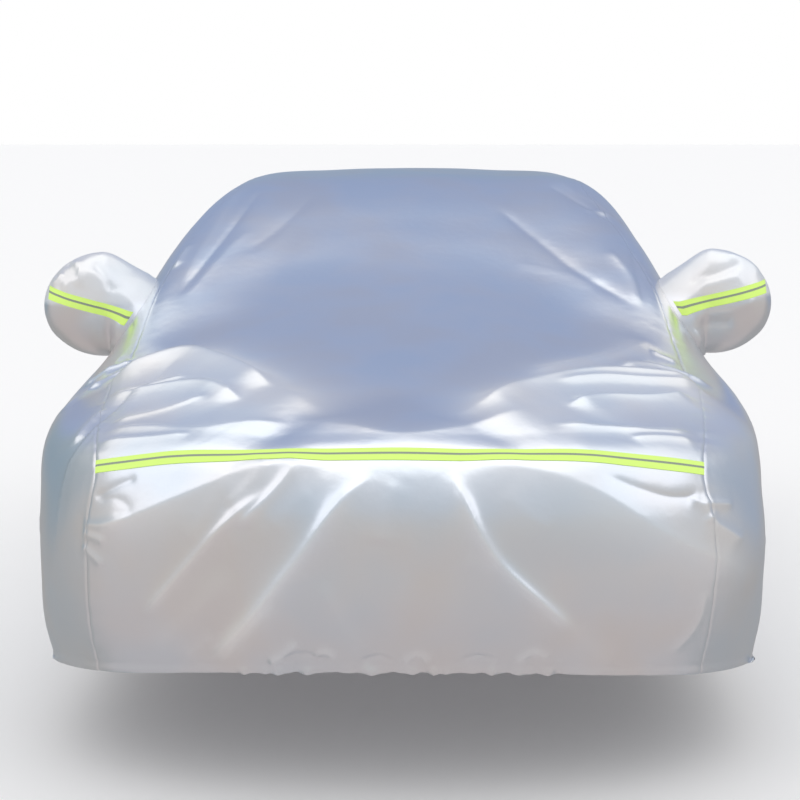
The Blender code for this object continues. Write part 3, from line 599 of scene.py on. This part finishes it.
def distance_to_path(places, path):
    """Each place's distance to a smooth path, negative to its right, and how far along
    the path it is, 0 to 1."""
    knots = distances(path)
    path = smooth_curve(knots, path, np.linspace(0, knots[-1], PATH_STEPS + 1))
    start = distances(path)
    nearest = np.full(places.shape[:-1], np.inf)
    along = np.zeros(places.shape[:-1])
    for number, length in enumerate(np.diff(start)):
        run = path[number + 1] - path[number]
        away = places - path[number]
        share = np.clip(away @ run / length**2, 0, 1)
        side = np.sign(run[0] * away[..., 1] - run[1] * away[..., 0])
        gap = np.linalg.norm(away - share[..., None] * run, axis=-1)
        closer = gap < np.abs(nearest)
        nearest = np.where(closer, gap * side, nearest)
        along = np.where(closer, (start[number] + share * length) / start[-1], along)
    return nearest, along


def fold_height(places, path, widths, far_share, crest, height):
    """How far one fold of the tables lifts each place, in metres."""
    left, right, crest, height = np.array([*widths, crest, height]) / MM_PER_M
    gap, along = distance_to_path(places, np.array(path) / MM_PER_M)
    width = np.where(gap > 0, left, right) * (1 + (far_share - 1) * along)
    rise = np.exp(-(np.hypot(gap, crest) - crest) / width)
    end = np.clip(np.minimum(along, 1 - along) / FOLD_TAPER, 0, 1)
    return height * rise * end * end * (3 - 2 * end)


def views_of(grid, normals):
    """For each view of the folds, the places as it sees them and how far they face it."""
    x, s, z = 0, 1, 2
    facing = np.clip(normals * FACING_GAIN, 0, 1)
    away = np.clip(-normals * FACING_GAIN, 0, 1)
    return {
        "front": (grid[..., [x, z]], away[..., s]),
        "top": (grid[..., [x, s]], facing[..., z] * (grid[..., s] < ROOF_S)),
        "left": (grid[..., [s, z]], away[..., x]),
        "right": (grid[..., [s, z]], facing[..., x]),
    }


def bell(distance, width):
    """A bell curve, 1 at no distance."""
    return np.exp(-((distance / width) ** 2))


def wave_heights(grid):
    """Slow waves of slack cloth, from a smooth noise in space."""
    total = np.zeros(grid.shape[:2])
    flat = grid.reshape(-1, 3)
    for _name, size, height, seed in WAVES:
        shift = Vector((seed, seed, seed))
        values = [noise.noise(Vector(place) / size + shift) for place in flat]
        total += height * np.array(values).reshape(total.shape)
    return total


def seam_heights(across):
    """The bead on either side of each seam, and the line where its panels meet."""
    place, width, height = SEAM_BEAD
    valley, depth = SEAM_VALLEY
    total = np.zeros(across.shape)
    for column in SEAM_COLUMNS:
        gap = np.abs(across - across[:, column : column + 1])
        total += height * bell(gap - place, width) - depth * bell(gap, valley)
    return total


def pucker_heights(across, along):
    """Short irregular ridges that cross the seams."""
    spacing, height, reach = SEAM_PUCKER
    total = np.zeros(across.shape)
    for column in SEAM_COLUMNS:
        line = along[:, column]
        wobble = [noise.noise(Vector((v / spacing, column, 0.0))) for v in line]
        gap = np.abs(across - across[:, column : column + 1])
        total += height * np.array(wobble)[:, None] * np.exp(-gap / reach)
    return total


def gather_heights(grid, across, along):
    """The gathers that the elastic draws up from each hem."""
    total = np.zeros(across.shape)
    hems = {
        "front": (along, grid[..., 0]),
        "rear": (along[-1:, :] - along, grid[..., 0]),
        "left": (across, grid[..., 1]),
        "right": (across[:, -1:] - across, grid[..., 1]),
    }
    for _name, edge, start, end, spacing, height, reach, seed in GATHERS:
        gap, place = hems[edge]
        chance = np.random.default_rng(seed)
        middle = start
        while middle < end:
            width = spacing * chance.uniform(*GATHER_WIDTHS)
            rise = height * chance.uniform(*GATHER_RISES) * chance.choice(GATHER_WAYS)
            lean = chance.uniform(*GATHER_LEANS)
            far = reach * chance.uniform(*GATHER_REACHES)
            total += rise * bell(place - middle - lean * gap, width) * bell(gap, far)
            middle += spacing * chance.uniform(*GATHER_STEPS)
    return total


def hem_heights(across, along):
    """The round casing along the hem, and its line of stitches."""
    gap = np.minimum(along, along[-1:, :] - along)
    gap = np.minimum(gap, np.minimum(across, across[:, -1:] - across))
    place, width, height = HEM_BEAD
    line, line_width, depth = HEM_LINE
    return height * bell(gap - place, width) - depth * bell(gap - line, line_width)


class Cover:
    """The cover's outer face by row and column: its places, its normals, its measures
    along the cloth and how loose it is."""

    def __init__(self, sizes):
        grid = draped_grid()
        normals = grid_normals(grid)
        self.across = distances(grid, axis=1)
        self.along = distances(grid, axis=0)
        folds = self.fold_lifts(grid, normals, sizes.fold_depth)
        self.loose = np.clip(folds / LOOSE_LIFT, 0, 1)
        lift = folds + self.fine_lifts(grid)
        grid = grid + normals * lift[..., None]
        for side in SIDES:
            grid = rounded_hole(grid, side)
        self.places = grid - ORIGIN
        self.normals = grid_normals(grid)

    def fold_lifts(self, grid, normals, fold_depth):
        """How far the tension folds lift each place."""
        total = np.zeros(grid.shape[:2])
        views = views_of(grid, normals)
        for _name, seen, *fold in FOLDS:
            places, facing = views[seen]
            total += fold_height(places, *fold) * facing
        return total * fold_depth

    def fine_lifts(self, grid):
        """How far slack, bulges, seams, gathers and the hem's casing lift each place."""
        total = wave_heights(grid)
        for _name, place, radius, height in PUFFS:
            total += height * bell(np.linalg.norm(grid - place, axis=-1), radius)
        total += seam_heights(self.across)
        total += pucker_heights(self.across, self.along)
        total += gather_heights(grid, self.across, self.along)
        return total + hem_heights(self.across, self.along)


COVER = []


def cover():
    """The cover's face, worked out once for all the operators."""
    if not COVER:
        COVER.append(Cover(bpy.context.scene.car_cover_sizes))
    return COVER[0]


# ---------------------------------------------------------------- meshes


def add_layers(mesh):
    """Layers for the cloth's normals, and for its flat places and how loose it is."""
    return [mesh.verts.layers.float_vector.new(name) for name in ("outward", "flat")]


def grid_mesh(places, normals, flat, removed=()):
    """A mesh through a grid of places, with its layers."""
    mesh = bmesh.new()
    rows, columns = places.shape[0] - 1, places.shape[1] - 1
    bmesh.ops.create_grid(mesh, x_segments=columns, y_segments=rows, size=0.5)
    outward, flat_place = add_layers(mesh)
    gone = []
    for vert in mesh.verts:
        place = (round((vert.co.y + 0.5) * rows), round((vert.co.x + 0.5) * columns))
        vert.co = places[place]
        vert[outward] = normals[place]
        vert[flat_place] = flat[place]
        if place in removed:
            gone.append(vert)
    bmesh.ops.delete(mesh, geom=gone, context="VERTS")
    bmesh.ops.recalc_face_normals(mesh, faces=mesh.faces)
    return mesh


def panel_mesh(face, columns, hole=None):
    """The part of the cover between two mesh columns, less a hole."""
    first, last = columns
    inside = set()
    if hole:
        (row, last_row), (column, last_column) = hole
        inside = {
            (r, c - first)
            for r in range(row + 1, last_row)
            for c in range(column + 1, last_column)
        }
    block = np.s_[:, first : last + 1]
    flat = np.stack([face.across[block], face.along[block], face.loose[block]], axis=-1)
    return grid_mesh(face.places[block], face.normals[block], flat, inside)


def ways_in(mesh):
    """The way from each vertex of an open edge into the sheet."""
    ways = {}
    for vert in mesh.verts:
        if vert.is_boundary:
            others = [edge.other_vert(vert) for edge in vert.link_edges]
            inner = [other.co for other in others if not other.is_boundary]
            if not inner:
                inner = [face.calc_center_median() for face in vert.link_faces]
            way = sum((place - vert.co for place in inner), Vector())
            ways[vert] = way.normalized()
    return ways


def draw_back_edges(mesh, gap):
    """Moves the open edges back into the sheet, to leave room for a seam."""
    for vert, way in ways_in(mesh).items():
        vert.co += way * gap


def extruded(mesh, edges):
    """Extrudes open edges. Gives the new vertices and the new open edges."""
    made = bmesh.ops.extrude_edge_only(mesh, edges=edges)["geom"]
    verts = [item for item in made if isinstance(item, bmesh.types.BMVert)]
    edges = [item for item in made if isinstance(item, bmesh.types.BMEdge)]
    return verts, [edge for edge in edges if edge.is_boundary]


def turn_edges(mesh):
    """Turns the cloth under along its open edges, as it is before it is sewn."""
    outward = mesh.verts.layers.float_vector["outward"]
    edge_of = {vert: (vert.co.copy(), way) for vert, way in ways_in(mesh).items()}
    edges = [edge for edge in mesh.edges if edge.is_boundary]
    for depth, back in EDGE_TURN:
        verts, edges = extruded(mesh, edges)
        turned = {}
        for vert in verts:
            near = [edge.other_vert(vert) for edge in vert.link_edges]
            place, way = next(edge_of[other] for other in near if other in edge_of)
            vert.co = place - vert[outward] * depth + way * back
            turned[vert] = (place, way)
        edge_of = turned
    bmesh.ops.recalc_face_normals(mesh, faces=mesh.faces)


def thicken(mesh, outer, inner):
    """Makes the sheet a solid between two distances along its outward normals."""
    layer = mesh.verts.layers.float_vector["outward"]
    made = bmesh.ops.extrude_face_region(mesh, geom=mesh.faces[:], use_keep_orig=True)
    below = {item for item in made["geom"] if isinstance(item, bmesh.types.BMVert)}
    for vert in mesh.verts:
        vert.co += vert[layer] * (inner if vert in below else outer)
    bmesh.ops.recalc_face_normals(mesh, faces=mesh.faces)


# ---------------------------------------------------------------- materials


def add_node(tree, kind, inputs=None, **settings):
    """Adds a node with its settings. An input is a value or another node's output."""
    node = tree.nodes.new(kind)
    for name, value in settings.items():
        setattr(node, name, value)
    for name, value in (inputs or {}).items():
        if isinstance(value, bpy.types.NodeSocket):
            tree.links.new(value, node.inputs[name])
        else:
            node.inputs[name].default_value = value
    return node


def new_material(name):
    """An empty material and its shader and output."""
    material = bpy.data.materials.new(name)
    material.use_nodes = True
    return material, material.node_tree.nodes["Principled BSDF"]


def metallised_film():
    """Polyethylene film with a thin metal layer, on a soft backing. The metal under the
    matt embossed film gives a broad satin shine that folds break into bands."""
    made = bpy.data.materials.get("metallised_film")
    if made:
        return made
    colours = bpy.context.scene.car_cover_colours
    made, shader = new_material("metallised_film")
    tree = made.node_tree
    place = add_node(tree, "ShaderNodeTexCoord").outputs["Object"]
    tint = add_node(
        tree, "ShaderNodeTexNoise", {"Vector": place, "Scale": TINT_SCALE, "Detail": 2.0}
    )
    ramp = add_node(tree, "ShaderNodeValToRGB", {"Fac": tint.outputs["Fac"]})
    tints = ramp.color_ramp.elements
    tints[0].position, tints[1].position = TINT_ENDS
    tints[0].color, tints[1].color = colours.film_cool, colours.film_warm
    tints.new(sum(TINT_ENDS) / 2).color = colours.film
    tree.links.new(ramp.outputs["Color"], shader.inputs["Base Color"])
    # Loose cloth is full of creases too fine to model. They scatter the light.
    flat = add_node(tree, "ShaderNodeAttribute", attribute_name="flat").outputs["Vector"]
    loose = add_node(tree, "ShaderNodeSeparateXYZ", {"Vector": flat}).outputs["Z"]
    tight, slack = FILM_METALLIC
    shares = {"Value": loose, "From Max": LIMP, "To Min": tight, "To Max": slack}
    scatter = add_node(tree, "ShaderNodeMapRange", shares)
    tree.links.new(scatter.outputs["Result"], shader.inputs["Metallic"])
    shader.inputs["Roughness"].default_value = 0.28
    pattern = {"Vector": place, "Scale": CRINKLE_SCALE, "Detail": 2.0, "Roughness": 0.45}
    crinkle = add_node(tree, "ShaderNodeTexNoise", pattern)
    relief = {"Height": crinkle.outputs["Fac"], "Strength": 0.25, "Distance": 0.002}
    bump = add_node(tree, "ShaderNodeBump", relief)
    tree.links.new(bump.outputs["Normal"], shader.inputs["Normal"])
    return made


def fluorescent_tape():
    """Woven polyester tape, fluorescent yellow-green, with a band of glass beads along
    its middle. A faint painted glow in the tape's own colours stands in for the dye's
    fluorescence, so it stays bright in the shade. The weave is too fine to
    show, so it is left to the roughness."""
    made = bpy.data.materials.get("fluorescent_woven_tape")
    if made:
        return made
    colours = bpy.context.scene.car_cover_colours
    made, shader = new_material("fluorescent_woven_tape")
    tree = made.node_tree
    flat = add_node(tree, "ShaderNodeUVMap", uv_map="flat_metres").outputs["UV"]
    across = add_node(tree, "ShaderNodeSeparateXYZ", {"Vector": flat}).outputs["Y"]
    ramp = add_node(tree, "ShaderNodeValToRGB", {"Fac": across})
    ramp.color_ramp.interpolation = "CONSTANT"
    stripes = ramp.color_ramp.elements
    stripes[1].position = TAPE_BAND[1]
    stripes[0].color = stripes[1].color = colours.tape
    stripes.new(TAPE_BAND[0]).color = colours.band
    tree.links.new(ramp.outputs["Color"], shader.inputs["Base Color"])
    shader.inputs["Roughness"].default_value = 0.5
    # Painted glow: the tape's colours, band included, are also emitted faintly, standing in for the
    # dye's fluorescence.
    tree.links.new(ramp.outputs["Color"], shader.inputs["Emission Color"])
    shader.inputs["Emission Strength"].default_value = 0.05
    return made


# ---------------------------------------------------------------- pieces

FINISHES = {
    "cloth": (metallised_film, "coated_cloth"),
    "strip": (fluorescent_tape, "fluorescent_tape"),
}


def add_piece(node, finish, mesh):
    """Makes a mesh the piece that stands for its CAD node, with a flat UV map."""
    material, slot = FINISHES[finish]
    data = bpy.data.meshes.new(f"{node}_{finish}")
    mesh.to_mesh(data)
    mesh.free()
    data.materials.append(material())
    data.shade_smooth()
    data.set_sharp_from_angle(angle=math.radians(SHARP_ANGLE))
    flat = np.empty(len(data.vertices) * 3)
    data.attributes["flat"].data.foreach_get("vector", flat)
    corners = np.empty(len(data.loops), int)
    data.loops.foreach_get("vertex_index", corners)
    data.uv_layers.new(name="flat_metres")
    flat = flat.reshape(-1, 3)[corners, :2]
    data.uv_layers["flat_metres"].data.foreach_set("uv", flat.ravel())
    piece = bpy.data.objects.new(data.name, data)
    bpy.context.scene.collection.objects.link(piece)
    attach(piece, "root")
    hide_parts(node)
    return piece


# ---------------------------------------------------------------- panels


class CARCOVER_OT_centre_panel(Operator):
    """Builds the long panel over the bonnet, roof and boot"""

    bl_idname = "car_cover.centre_panel"
    bl_label = "Centre panel"

    def execute(self, context):
        sizes = context.scene.car_cover_sizes
        mesh = panel_mesh(cover(), SEAM_COLUMNS)
        draw_back_edges(mesh, sizes.seam_gap / 2)
        turn_edges(mesh)
        piece = add_piece("centre_panel", "cloth", mesh)
        return {"FINISHED"}


class CARCOVER_OT_side_panels(Operator):
    """Builds the panel down each side, with the hole for its mirror pocket"""

    bl_idname = "car_cover.side_panels"
    bl_label = "Side panels"

    def execute(self, context):
        sizes = context.scene.car_cover_sizes
        blocks = {"left": (0, SEAM_COLUMNS[0]), "right": (SEAM_COLUMNS[1], COLUMNS)}
        for side, columns in blocks.items():
            mesh = panel_mesh(cover(), columns, hole_block(side))
            draw_back_edges(mesh, sizes.seam_gap / 2)
            turn_edges(mesh)
            piece = add_piece(f"side_panel_{side}", "cloth", mesh)
        return {"FINISHED"}


# ---------------------------------------------------------------- mirror pockets


def hole_rim(side):
    """Row and column of each point on the hole's edge, from its front corner by the
    seam, up over the top and round."""
    (row, last_row), (column, last_column) = hole_block(side)
    steps = [(row, c) for c in range(column, last_column)]
    steps += [(r, last_column) for r in range(row, last_row)]
    steps += [(last_row, c) for c in range(last_column, column, -1)]
    steps += [(r, column) for r in range(last_row, row, -1)]
    if side == "right":
        steps.reverse()
    first = steps.index((row, column if side == "right" else last_column))
    return steps[first:] + steps[:first]


def oval(middle, half_length, half_height, angles):
    """Places (s, z) on a pocket's ring. Angle 0 faces forward, and a quarter turn up."""
    cos, sin = np.cos(angles), np.sin(angles)
    power = 2 / np.where(sin > 0, *POCKET_SQUARENESS)
    s = middle[0] - half_length * np.sign(cos) * np.abs(cos) ** power
    z = middle[1] + half_height * np.sign(sin) * np.abs(sin) ** power
    return np.stack([s, z], axis=1)


def ring_places(ring, side, start, count):
    """The ring's points, evenly spaced from the angle at which it starts."""
    _name, x, (s, z), half_length, half_height = ring
    middle = (s, z + POCKET_LIFT[side])
    turn = np.linspace(start, start + 2 * math.pi, OVAL_STEPS)
    outline = oval(middle, half_length, half_height, turn)
    length = distances(outline)
    even = np.interp(np.arange(count) / count * length[-1], length, turn)
    places = oval(middle, half_length, half_height, even)
    return np.column_stack([np.full(count, SIDES[side] * x), places]) - ORIGIN


def pocket_rings(face, side, sizes):
    """Each fine ring's places, from inside the hole to the tip."""
    rim = hole_rim(side)
    edge = np.array([face.places[place] for place in rim])
    outward = np.array([face.normals[place] for place in rim])
    inward = edge.mean(axis=0) - edge
    inward /= np.linalg.norm(inward, axis=1, keepdims=True)
    root = edge + inward * sizes.seam_gap / 2 - outward * sizes.cloth
    collar = edge + inward * sizes.seam_gap + outward * POCKET_COLLAR
    ahead = collar[0] - collar.mean(axis=0)
    start = math.atan2(ahead[2], -ahead[1])
    free = [ring_places(ring, side, start, len(rim)) for ring in POCKET_RINGS]
    neck = collar + (free[0] - collar) * POCKET_NECK
    tip = np.empty_like(root)
    tip[:] = free[-1].mean(axis=0)
    tip[:, 0] = SIDES[side] * POCKET_TIP
    rings = np.array([root, collar, neck, *free, tip])
    knots = distances(rings).mean(axis=1)
    places = [knots[0]]
    for number, steps in enumerate(POCKET_STEPS):
        places += list(np.linspace(knots[number], knots[number + 1], steps + 1)[1:])
    flat = rings.reshape(len(rings), -1)
    return smooth_curve(knots, flat, places).reshape(len(places), -1, 3)


def ring_normals(rings):
    """Outward unit normals of a tube of rings. The last ring is its closed tip."""
    around = np.roll(rings, -1, axis=1) - np.roll(rings, 1, axis=1)
    normal = np.cross(around, np.gradient(rings, axis=0))
    normal[-1] = rings[-1] - rings[-3]
    normal /= np.maximum(np.linalg.norm(normal, axis=2, keepdims=True), TINY)
    middle = rings.mean(axis=1, keepdims=True)
    if np.sum((rings[:-1] - middle[:-1]) * normal[:-1]) < 0:
        normal[:-1] *= -1
    return normal


def pocket_lifts(rings, normals, side):
    """How far folds and the gathers at the neck lift each place on the pocket."""
    places, facing = views_of(rings + ORIGIN, normals)["front"]
    total = np.zeros(rings.shape[:2])
    for _name, on_side, *fold in POCKET_FOLDS:
        if on_side == side:
            total += fold_height(places, *fold) * facing
    along = distances(rings)
    around = distances(rings, axis=1)
    spacing, height, reach = POCKET_PUCKER
    chance = [noise.noise(Vector((v / spacing, side == "left", 0))) for v in around[0]]
    total += height * np.array(chance) * np.exp(-along / reach)
    total -= POCKET_TUCK[0] * bell(along - POCKET_COLLAR, POCKET_TUCK[1])
    fade = np.clip((along - POCKET_COLLAR / 2) / POCKET_COLLAR, 0, 1)
    return total * fade


def dressed_pocket(face, side, sizes):
    """The pocket's fine rings with their folds, and their normals."""
    rings = pocket_rings(face, side, sizes)
    normals = ring_normals(rings)
    rings = rings + normals * pocket_lifts(rings, normals, side)[..., None]
    return rings, ring_normals(rings)


def tube_mesh(rings, normals, flat):
    """A mesh through a tube of rings, closed at the last, with its layers."""
    mesh = bmesh.new()
    outward, flat_place = add_layers(mesh)
    bmesh.ops.create_circle(mesh, segments=rings.shape[1], radius=1.0)
    loop, edges = list(mesh.verts), list(mesh.edges)
    for number in range(len(rings) - 1):
        if number:
            loop, edges = extruded(mesh, edges)
        for index, vert in enumerate(loop):
            vert.co = rings[number, index]
            vert[outward] = normals[number, index]
            vert[flat_place] = flat[number, index]
    cap = bmesh.ops.contextual_create(mesh, geom=edges)["faces"]
    tip = bmesh.ops.poke(mesh, faces=cap)["verts"][0]
    tip.co = rings[-1, 0]
    tip[outward] = normals[-1].mean(axis=0)
    tip[flat_place] = flat[-1, 0]
    bmesh.ops.recalc_face_normals(mesh, faces=mesh.faces)
    return mesh


def tape_edges(x, side):
    """Height above the ground of the tape's lower and upper edge on a pocket."""
    middle = np.interp(x, POCKET_TAPE_REACH, POCKET_TAPE_RISE[side])
    return middle - POCKET_TAPE_WIDTH / 2, middle + POCKET_TAPE_WIDTH / 2


def pocket_tape(rings, normals, side):
    """The tape's places and normals, read from the front of each ring it crosses."""
    places, outward = [], []
    last = sum(POCKET_STEPS[:POCKET_TAPE_SPANS])
    for ring, normal in zip(rings[POCKET_STEPS[0] : last + 1], normals[POCKET_STEPS[0] :]):
        bottom = int(np.argmin(ring[:, 2]))
        ring = np.roll(ring, -bottom, axis=0)
        normal = np.roll(normal, -bottom, axis=0)
        front = slice(0, int(np.argmax(ring[:, 2])) + 1)
        rise = ring[front, 2] + ROOF_Z
        middle = np.interp(np.mean(POCKET_TAPE_RISE[side]), rise, np.abs(ring[front, 0]))
        heights = np.linspace(*tape_edges(middle, side), POCKET_TAPE_LINES + 1)
        for found, values in ((places, ring[front]), (outward, normal[front])):
            found.append([[np.interp(h, rise, line) for line in values.T] for h in heights])
    return np.array(places), np.array(outward)


def tape_mesh(places, outward, sizes):
    """The tape as a strip above the cloth, its flat places along it and across, 0 to 1."""
    across = distances(places, axis=1)
    share = across / across[:, -1:]
    along = distances(places, axis=0)
    flat = np.stack([along, share, np.zeros(share.shape)], axis=-1)
    mesh = grid_mesh(places, outward, flat)
    thicken(mesh, sizes.tape_lift + sizes.tape, sizes.tape_lift)
    return mesh


class CARCOVER_OT_bonnet_tape(Operator):
    """Lays the fluorescent tape across the front of the bonnet"""

    bl_idname = "car_cover.bonnet_tape"
    bl_label = "Bonnet tape"

    def execute(self, context):
        face = cover()
        rows = slice(FIRST_ROW["tape_low"], FIRST_ROW["tape_high"] + 1)
        columns = slice(SEAM_COLUMNS[0], SEAM_COLUMNS[1] + 1)
        places = face.places[rows, columns].transpose(1, 0, 2)
        normals = face.normals[rows, columns].transpose(1, 0, 2)
        mesh = tape_mesh(places, normals, context.scene.car_cover_sizes)
        piece = add_piece("bonnet_tape", "strip", mesh)
        return {"FINISHED"}


class CARCOVER_OT_mirror_pockets(Operator):
    """Builds the pocket and the tape for each door mirror"""

    bl_idname = "car_cover.mirror_pockets"
    bl_label = "Mirror pockets"

    def execute(self, context):
        sizes = context.scene.car_cover_sizes
        for side in SIDES:
            rings, normals = dressed_pocket(cover(), side, sizes)
            above = rings[..., 2] + ROOF_Z - np.mean(POCKET_TAPE_RISE[side])
            loose = np.clip(above / POCKET_LOOSE, 0, POCKET_LOOSEST)
            flat = np.stack([distances(rings, axis=1), distances(rings), loose], axis=-1)
            mesh = tube_mesh(rings, normals, flat)
            thicken(mesh, 0.0, -sizes.cloth)
            pocket = add_piece(f"mirror_pocket_{side}", "cloth", mesh)
            tape = tape_mesh(*pocket_tape(rings, normals, side), sizes)
            strip = add_piece(f"mirror_tape_{side}", "strip", tape)
        return {"FINISHED"}


# ---------------------------------------------------------------- stage


def mixed(tree, share, first, second):
    """Two colours mixed: the share is of the second."""
    inputs = {0: share, 6: first, 7: second}
    return add_node(tree, "ShaderNodeMix", inputs, data_type="RGBA").outputs[2]


def add_studio_light(tree, colour, light):
    """Lays one soft round patch of light over the surrounding's colour."""
    _name, azimuth, elevation, full, gone, hex_colour, strength = light
    turn, rise = math.radians(azimuth), math.radians(elevation)
    way = (math.sin(turn) * math.cos(rise), math.cos(turn) * math.cos(rise), math.sin(rise))
    direction = add_node(tree, "ShaderNodeTexCoord").outputs["Generated"]
    near = add_node(
        tree, "ShaderNodeVectorMath", {0: direction, 1: way}, operation="DOT_PRODUCT"
    )
    edges = {
        "Value": near.outputs["Value"],
        "From Min": math.cos(math.radians(gone)),
        "From Max": math.cos(math.radians(full)),
    }
    share = add_node(tree, "ShaderNodeMapRange", edges, interpolation_type="SMOOTHSTEP")
    bright = [part * strength for part in linear(hex_colour)[:3]]
    return mixed(tree, share.outputs["Result"], colour, (*bright, 1.0))


def add_studio(scene):
    """Soft studio light from all round. The floor and the far white show as plain."""
    world = bpy.data.worlds.new("studio")
    world.use_nodes = True
    tree = world.node_tree
    tree.nodes.clear()
    direction = add_node(tree, "ShaderNodeTexCoord").outputs["Generated"]
    height = add_node(tree, "ShaderNodeSeparateXYZ", {"Vector": direction}).outputs["Z"]
    share = add_node(
        tree, "ShaderNodeMapRange", {"Value": height, "From Min": -1.0, "From Max": 1.0}
    )
    ramp = add_node(tree, "ShaderNodeValToRGB", {"Fac": share.outputs["Result"]})
    ends = ramp.color_ramp.elements
    ends[0].position, ends[0].color = SURROUNDING[0][1], linear(SURROUNDING[0][2])
    ends[1].position, ends[1].color = SURROUNDING[-1][1], linear(SURROUNDING[-1][2])
    for _name, position, hex_colour in SURROUNDING[1:-1]:
        ends.new(position).color = linear(hex_colour)
    colour = ramp.outputs["Color"]
    for light in STUDIO_LIGHTS:
        colour = add_studio_light(tree, colour, light)
    mirrored = add_node(tree, "ShaderNodeLightPath").outputs["Is Glossy Ray"]
    seen = mixed(tree, mirrored, linear("#FFFFFF"), colour)
    back = add_node(tree, "ShaderNodeBackground", {"Color": seen})
    add_node(tree, "ShaderNodeOutputWorld", {"Surface": back.outputs[0]})
    scene.world = world


class CARCOVER_OT_stage(Operator):
    """Sets up the floor, the soft studio light and the camera"""

    bl_idname = "car_cover.stage"
    bl_label = "Stage"

    def execute(self, context):
        scene = context.scene
        mesh = bmesh.new()
        bmesh.ops.create_grid(mesh, x_segments=1, y_segments=1, size=FLOOR_HALF)
        bmesh.ops.translate(mesh, verts=mesh.verts, vec=(0, 0, -ROOF_Z))
        data = bpy.data.meshes.new("floor")
        mesh.to_mesh(data)
        mesh.free()
        material, shader = new_material("pale_floor")
        shader.inputs["Base Color"].default_value = scene.car_cover_colours.floor
        shader.inputs["Roughness"].default_value = 0.9
        data.materials.append(material)
        floor = bpy.data.objects.new("floor", data)
        floor.visible_glossy = False
        scene.collection.objects.link(floor)
        add_studio(scene)
        scene.view_settings.view_transform = "Standard"
        lens = bpy.data.cameras.new("camera")
        lens.lens = CAMERA_LENS
        lens.sensor_width = CAMERA_SENSOR
        lens.clip_end = CAMERA_SIGHT
        camera = bpy.data.objects.new("camera", lens)
        camera.location = CAMERA_PLACE
        pitch = math.radians(90 - CAMERA_PITCH)
        camera.rotation_euler = (pitch, 0.0, math.radians(CAMERA_TURN))
        scene.collection.objects.link(camera)
        scene.camera = camera
        return {"FINISHED"}


# ---------------------------------------------------------------- add-on


class CARCOVER_PT_panel(Panel):
    """Lists the cover's sizes, colours and operators"""

    bl_label = "Car cover"
    bl_idname = "CARCOVER_PT_panel"
    bl_space_type = "VIEW_3D"
    bl_region_type = "UI"
    bl_category = "Car cover"

    def draw(self, context):
        for group in (context.scene.car_cover_sizes, context.scene.car_cover_colours):
            for name in group.__annotations__:
                self.layout.prop(group, name)
        for operator in OPERATORS:
            self.layout.operator(operator.bl_idname)


OPERATORS = (
    CARCOVER_OT_centre_panel,
    CARCOVER_OT_side_panels,
    CARCOVER_OT_bonnet_tape,
    CARCOVER_OT_mirror_pockets,
    CARCOVER_OT_stage,
)
CLASSES = (CarCoverSizes, CarCoverColours, *OPERATORS, CARCOVER_PT_panel)


def register():
    for cls in CLASSES:
        bpy.utils.register_class(cls)
    bpy.types.Scene.car_cover_sizes = PointerProperty(type=CarCoverSizes)
    bpy.types.Scene.car_cover_colours = PointerProperty(type=CarCoverColours)


def unregister():
    del bpy.types.Scene.car_cover_colours
    del bpy.types.Scene.car_cover_sizes
    for cls in reversed(CLASSES):
        bpy.utils.unregister_class(cls)


def main():
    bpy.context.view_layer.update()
    register()
    bpy.ops.car_cover.centre_panel()
    bpy.ops.car_cover.side_panels()
    bpy.ops.car_cover.bonnet_tape()
    bpy.ops.car_cover.mirror_pockets()
    bpy.ops.car_cover.stage()


if __name__ == "__main__":
    main()
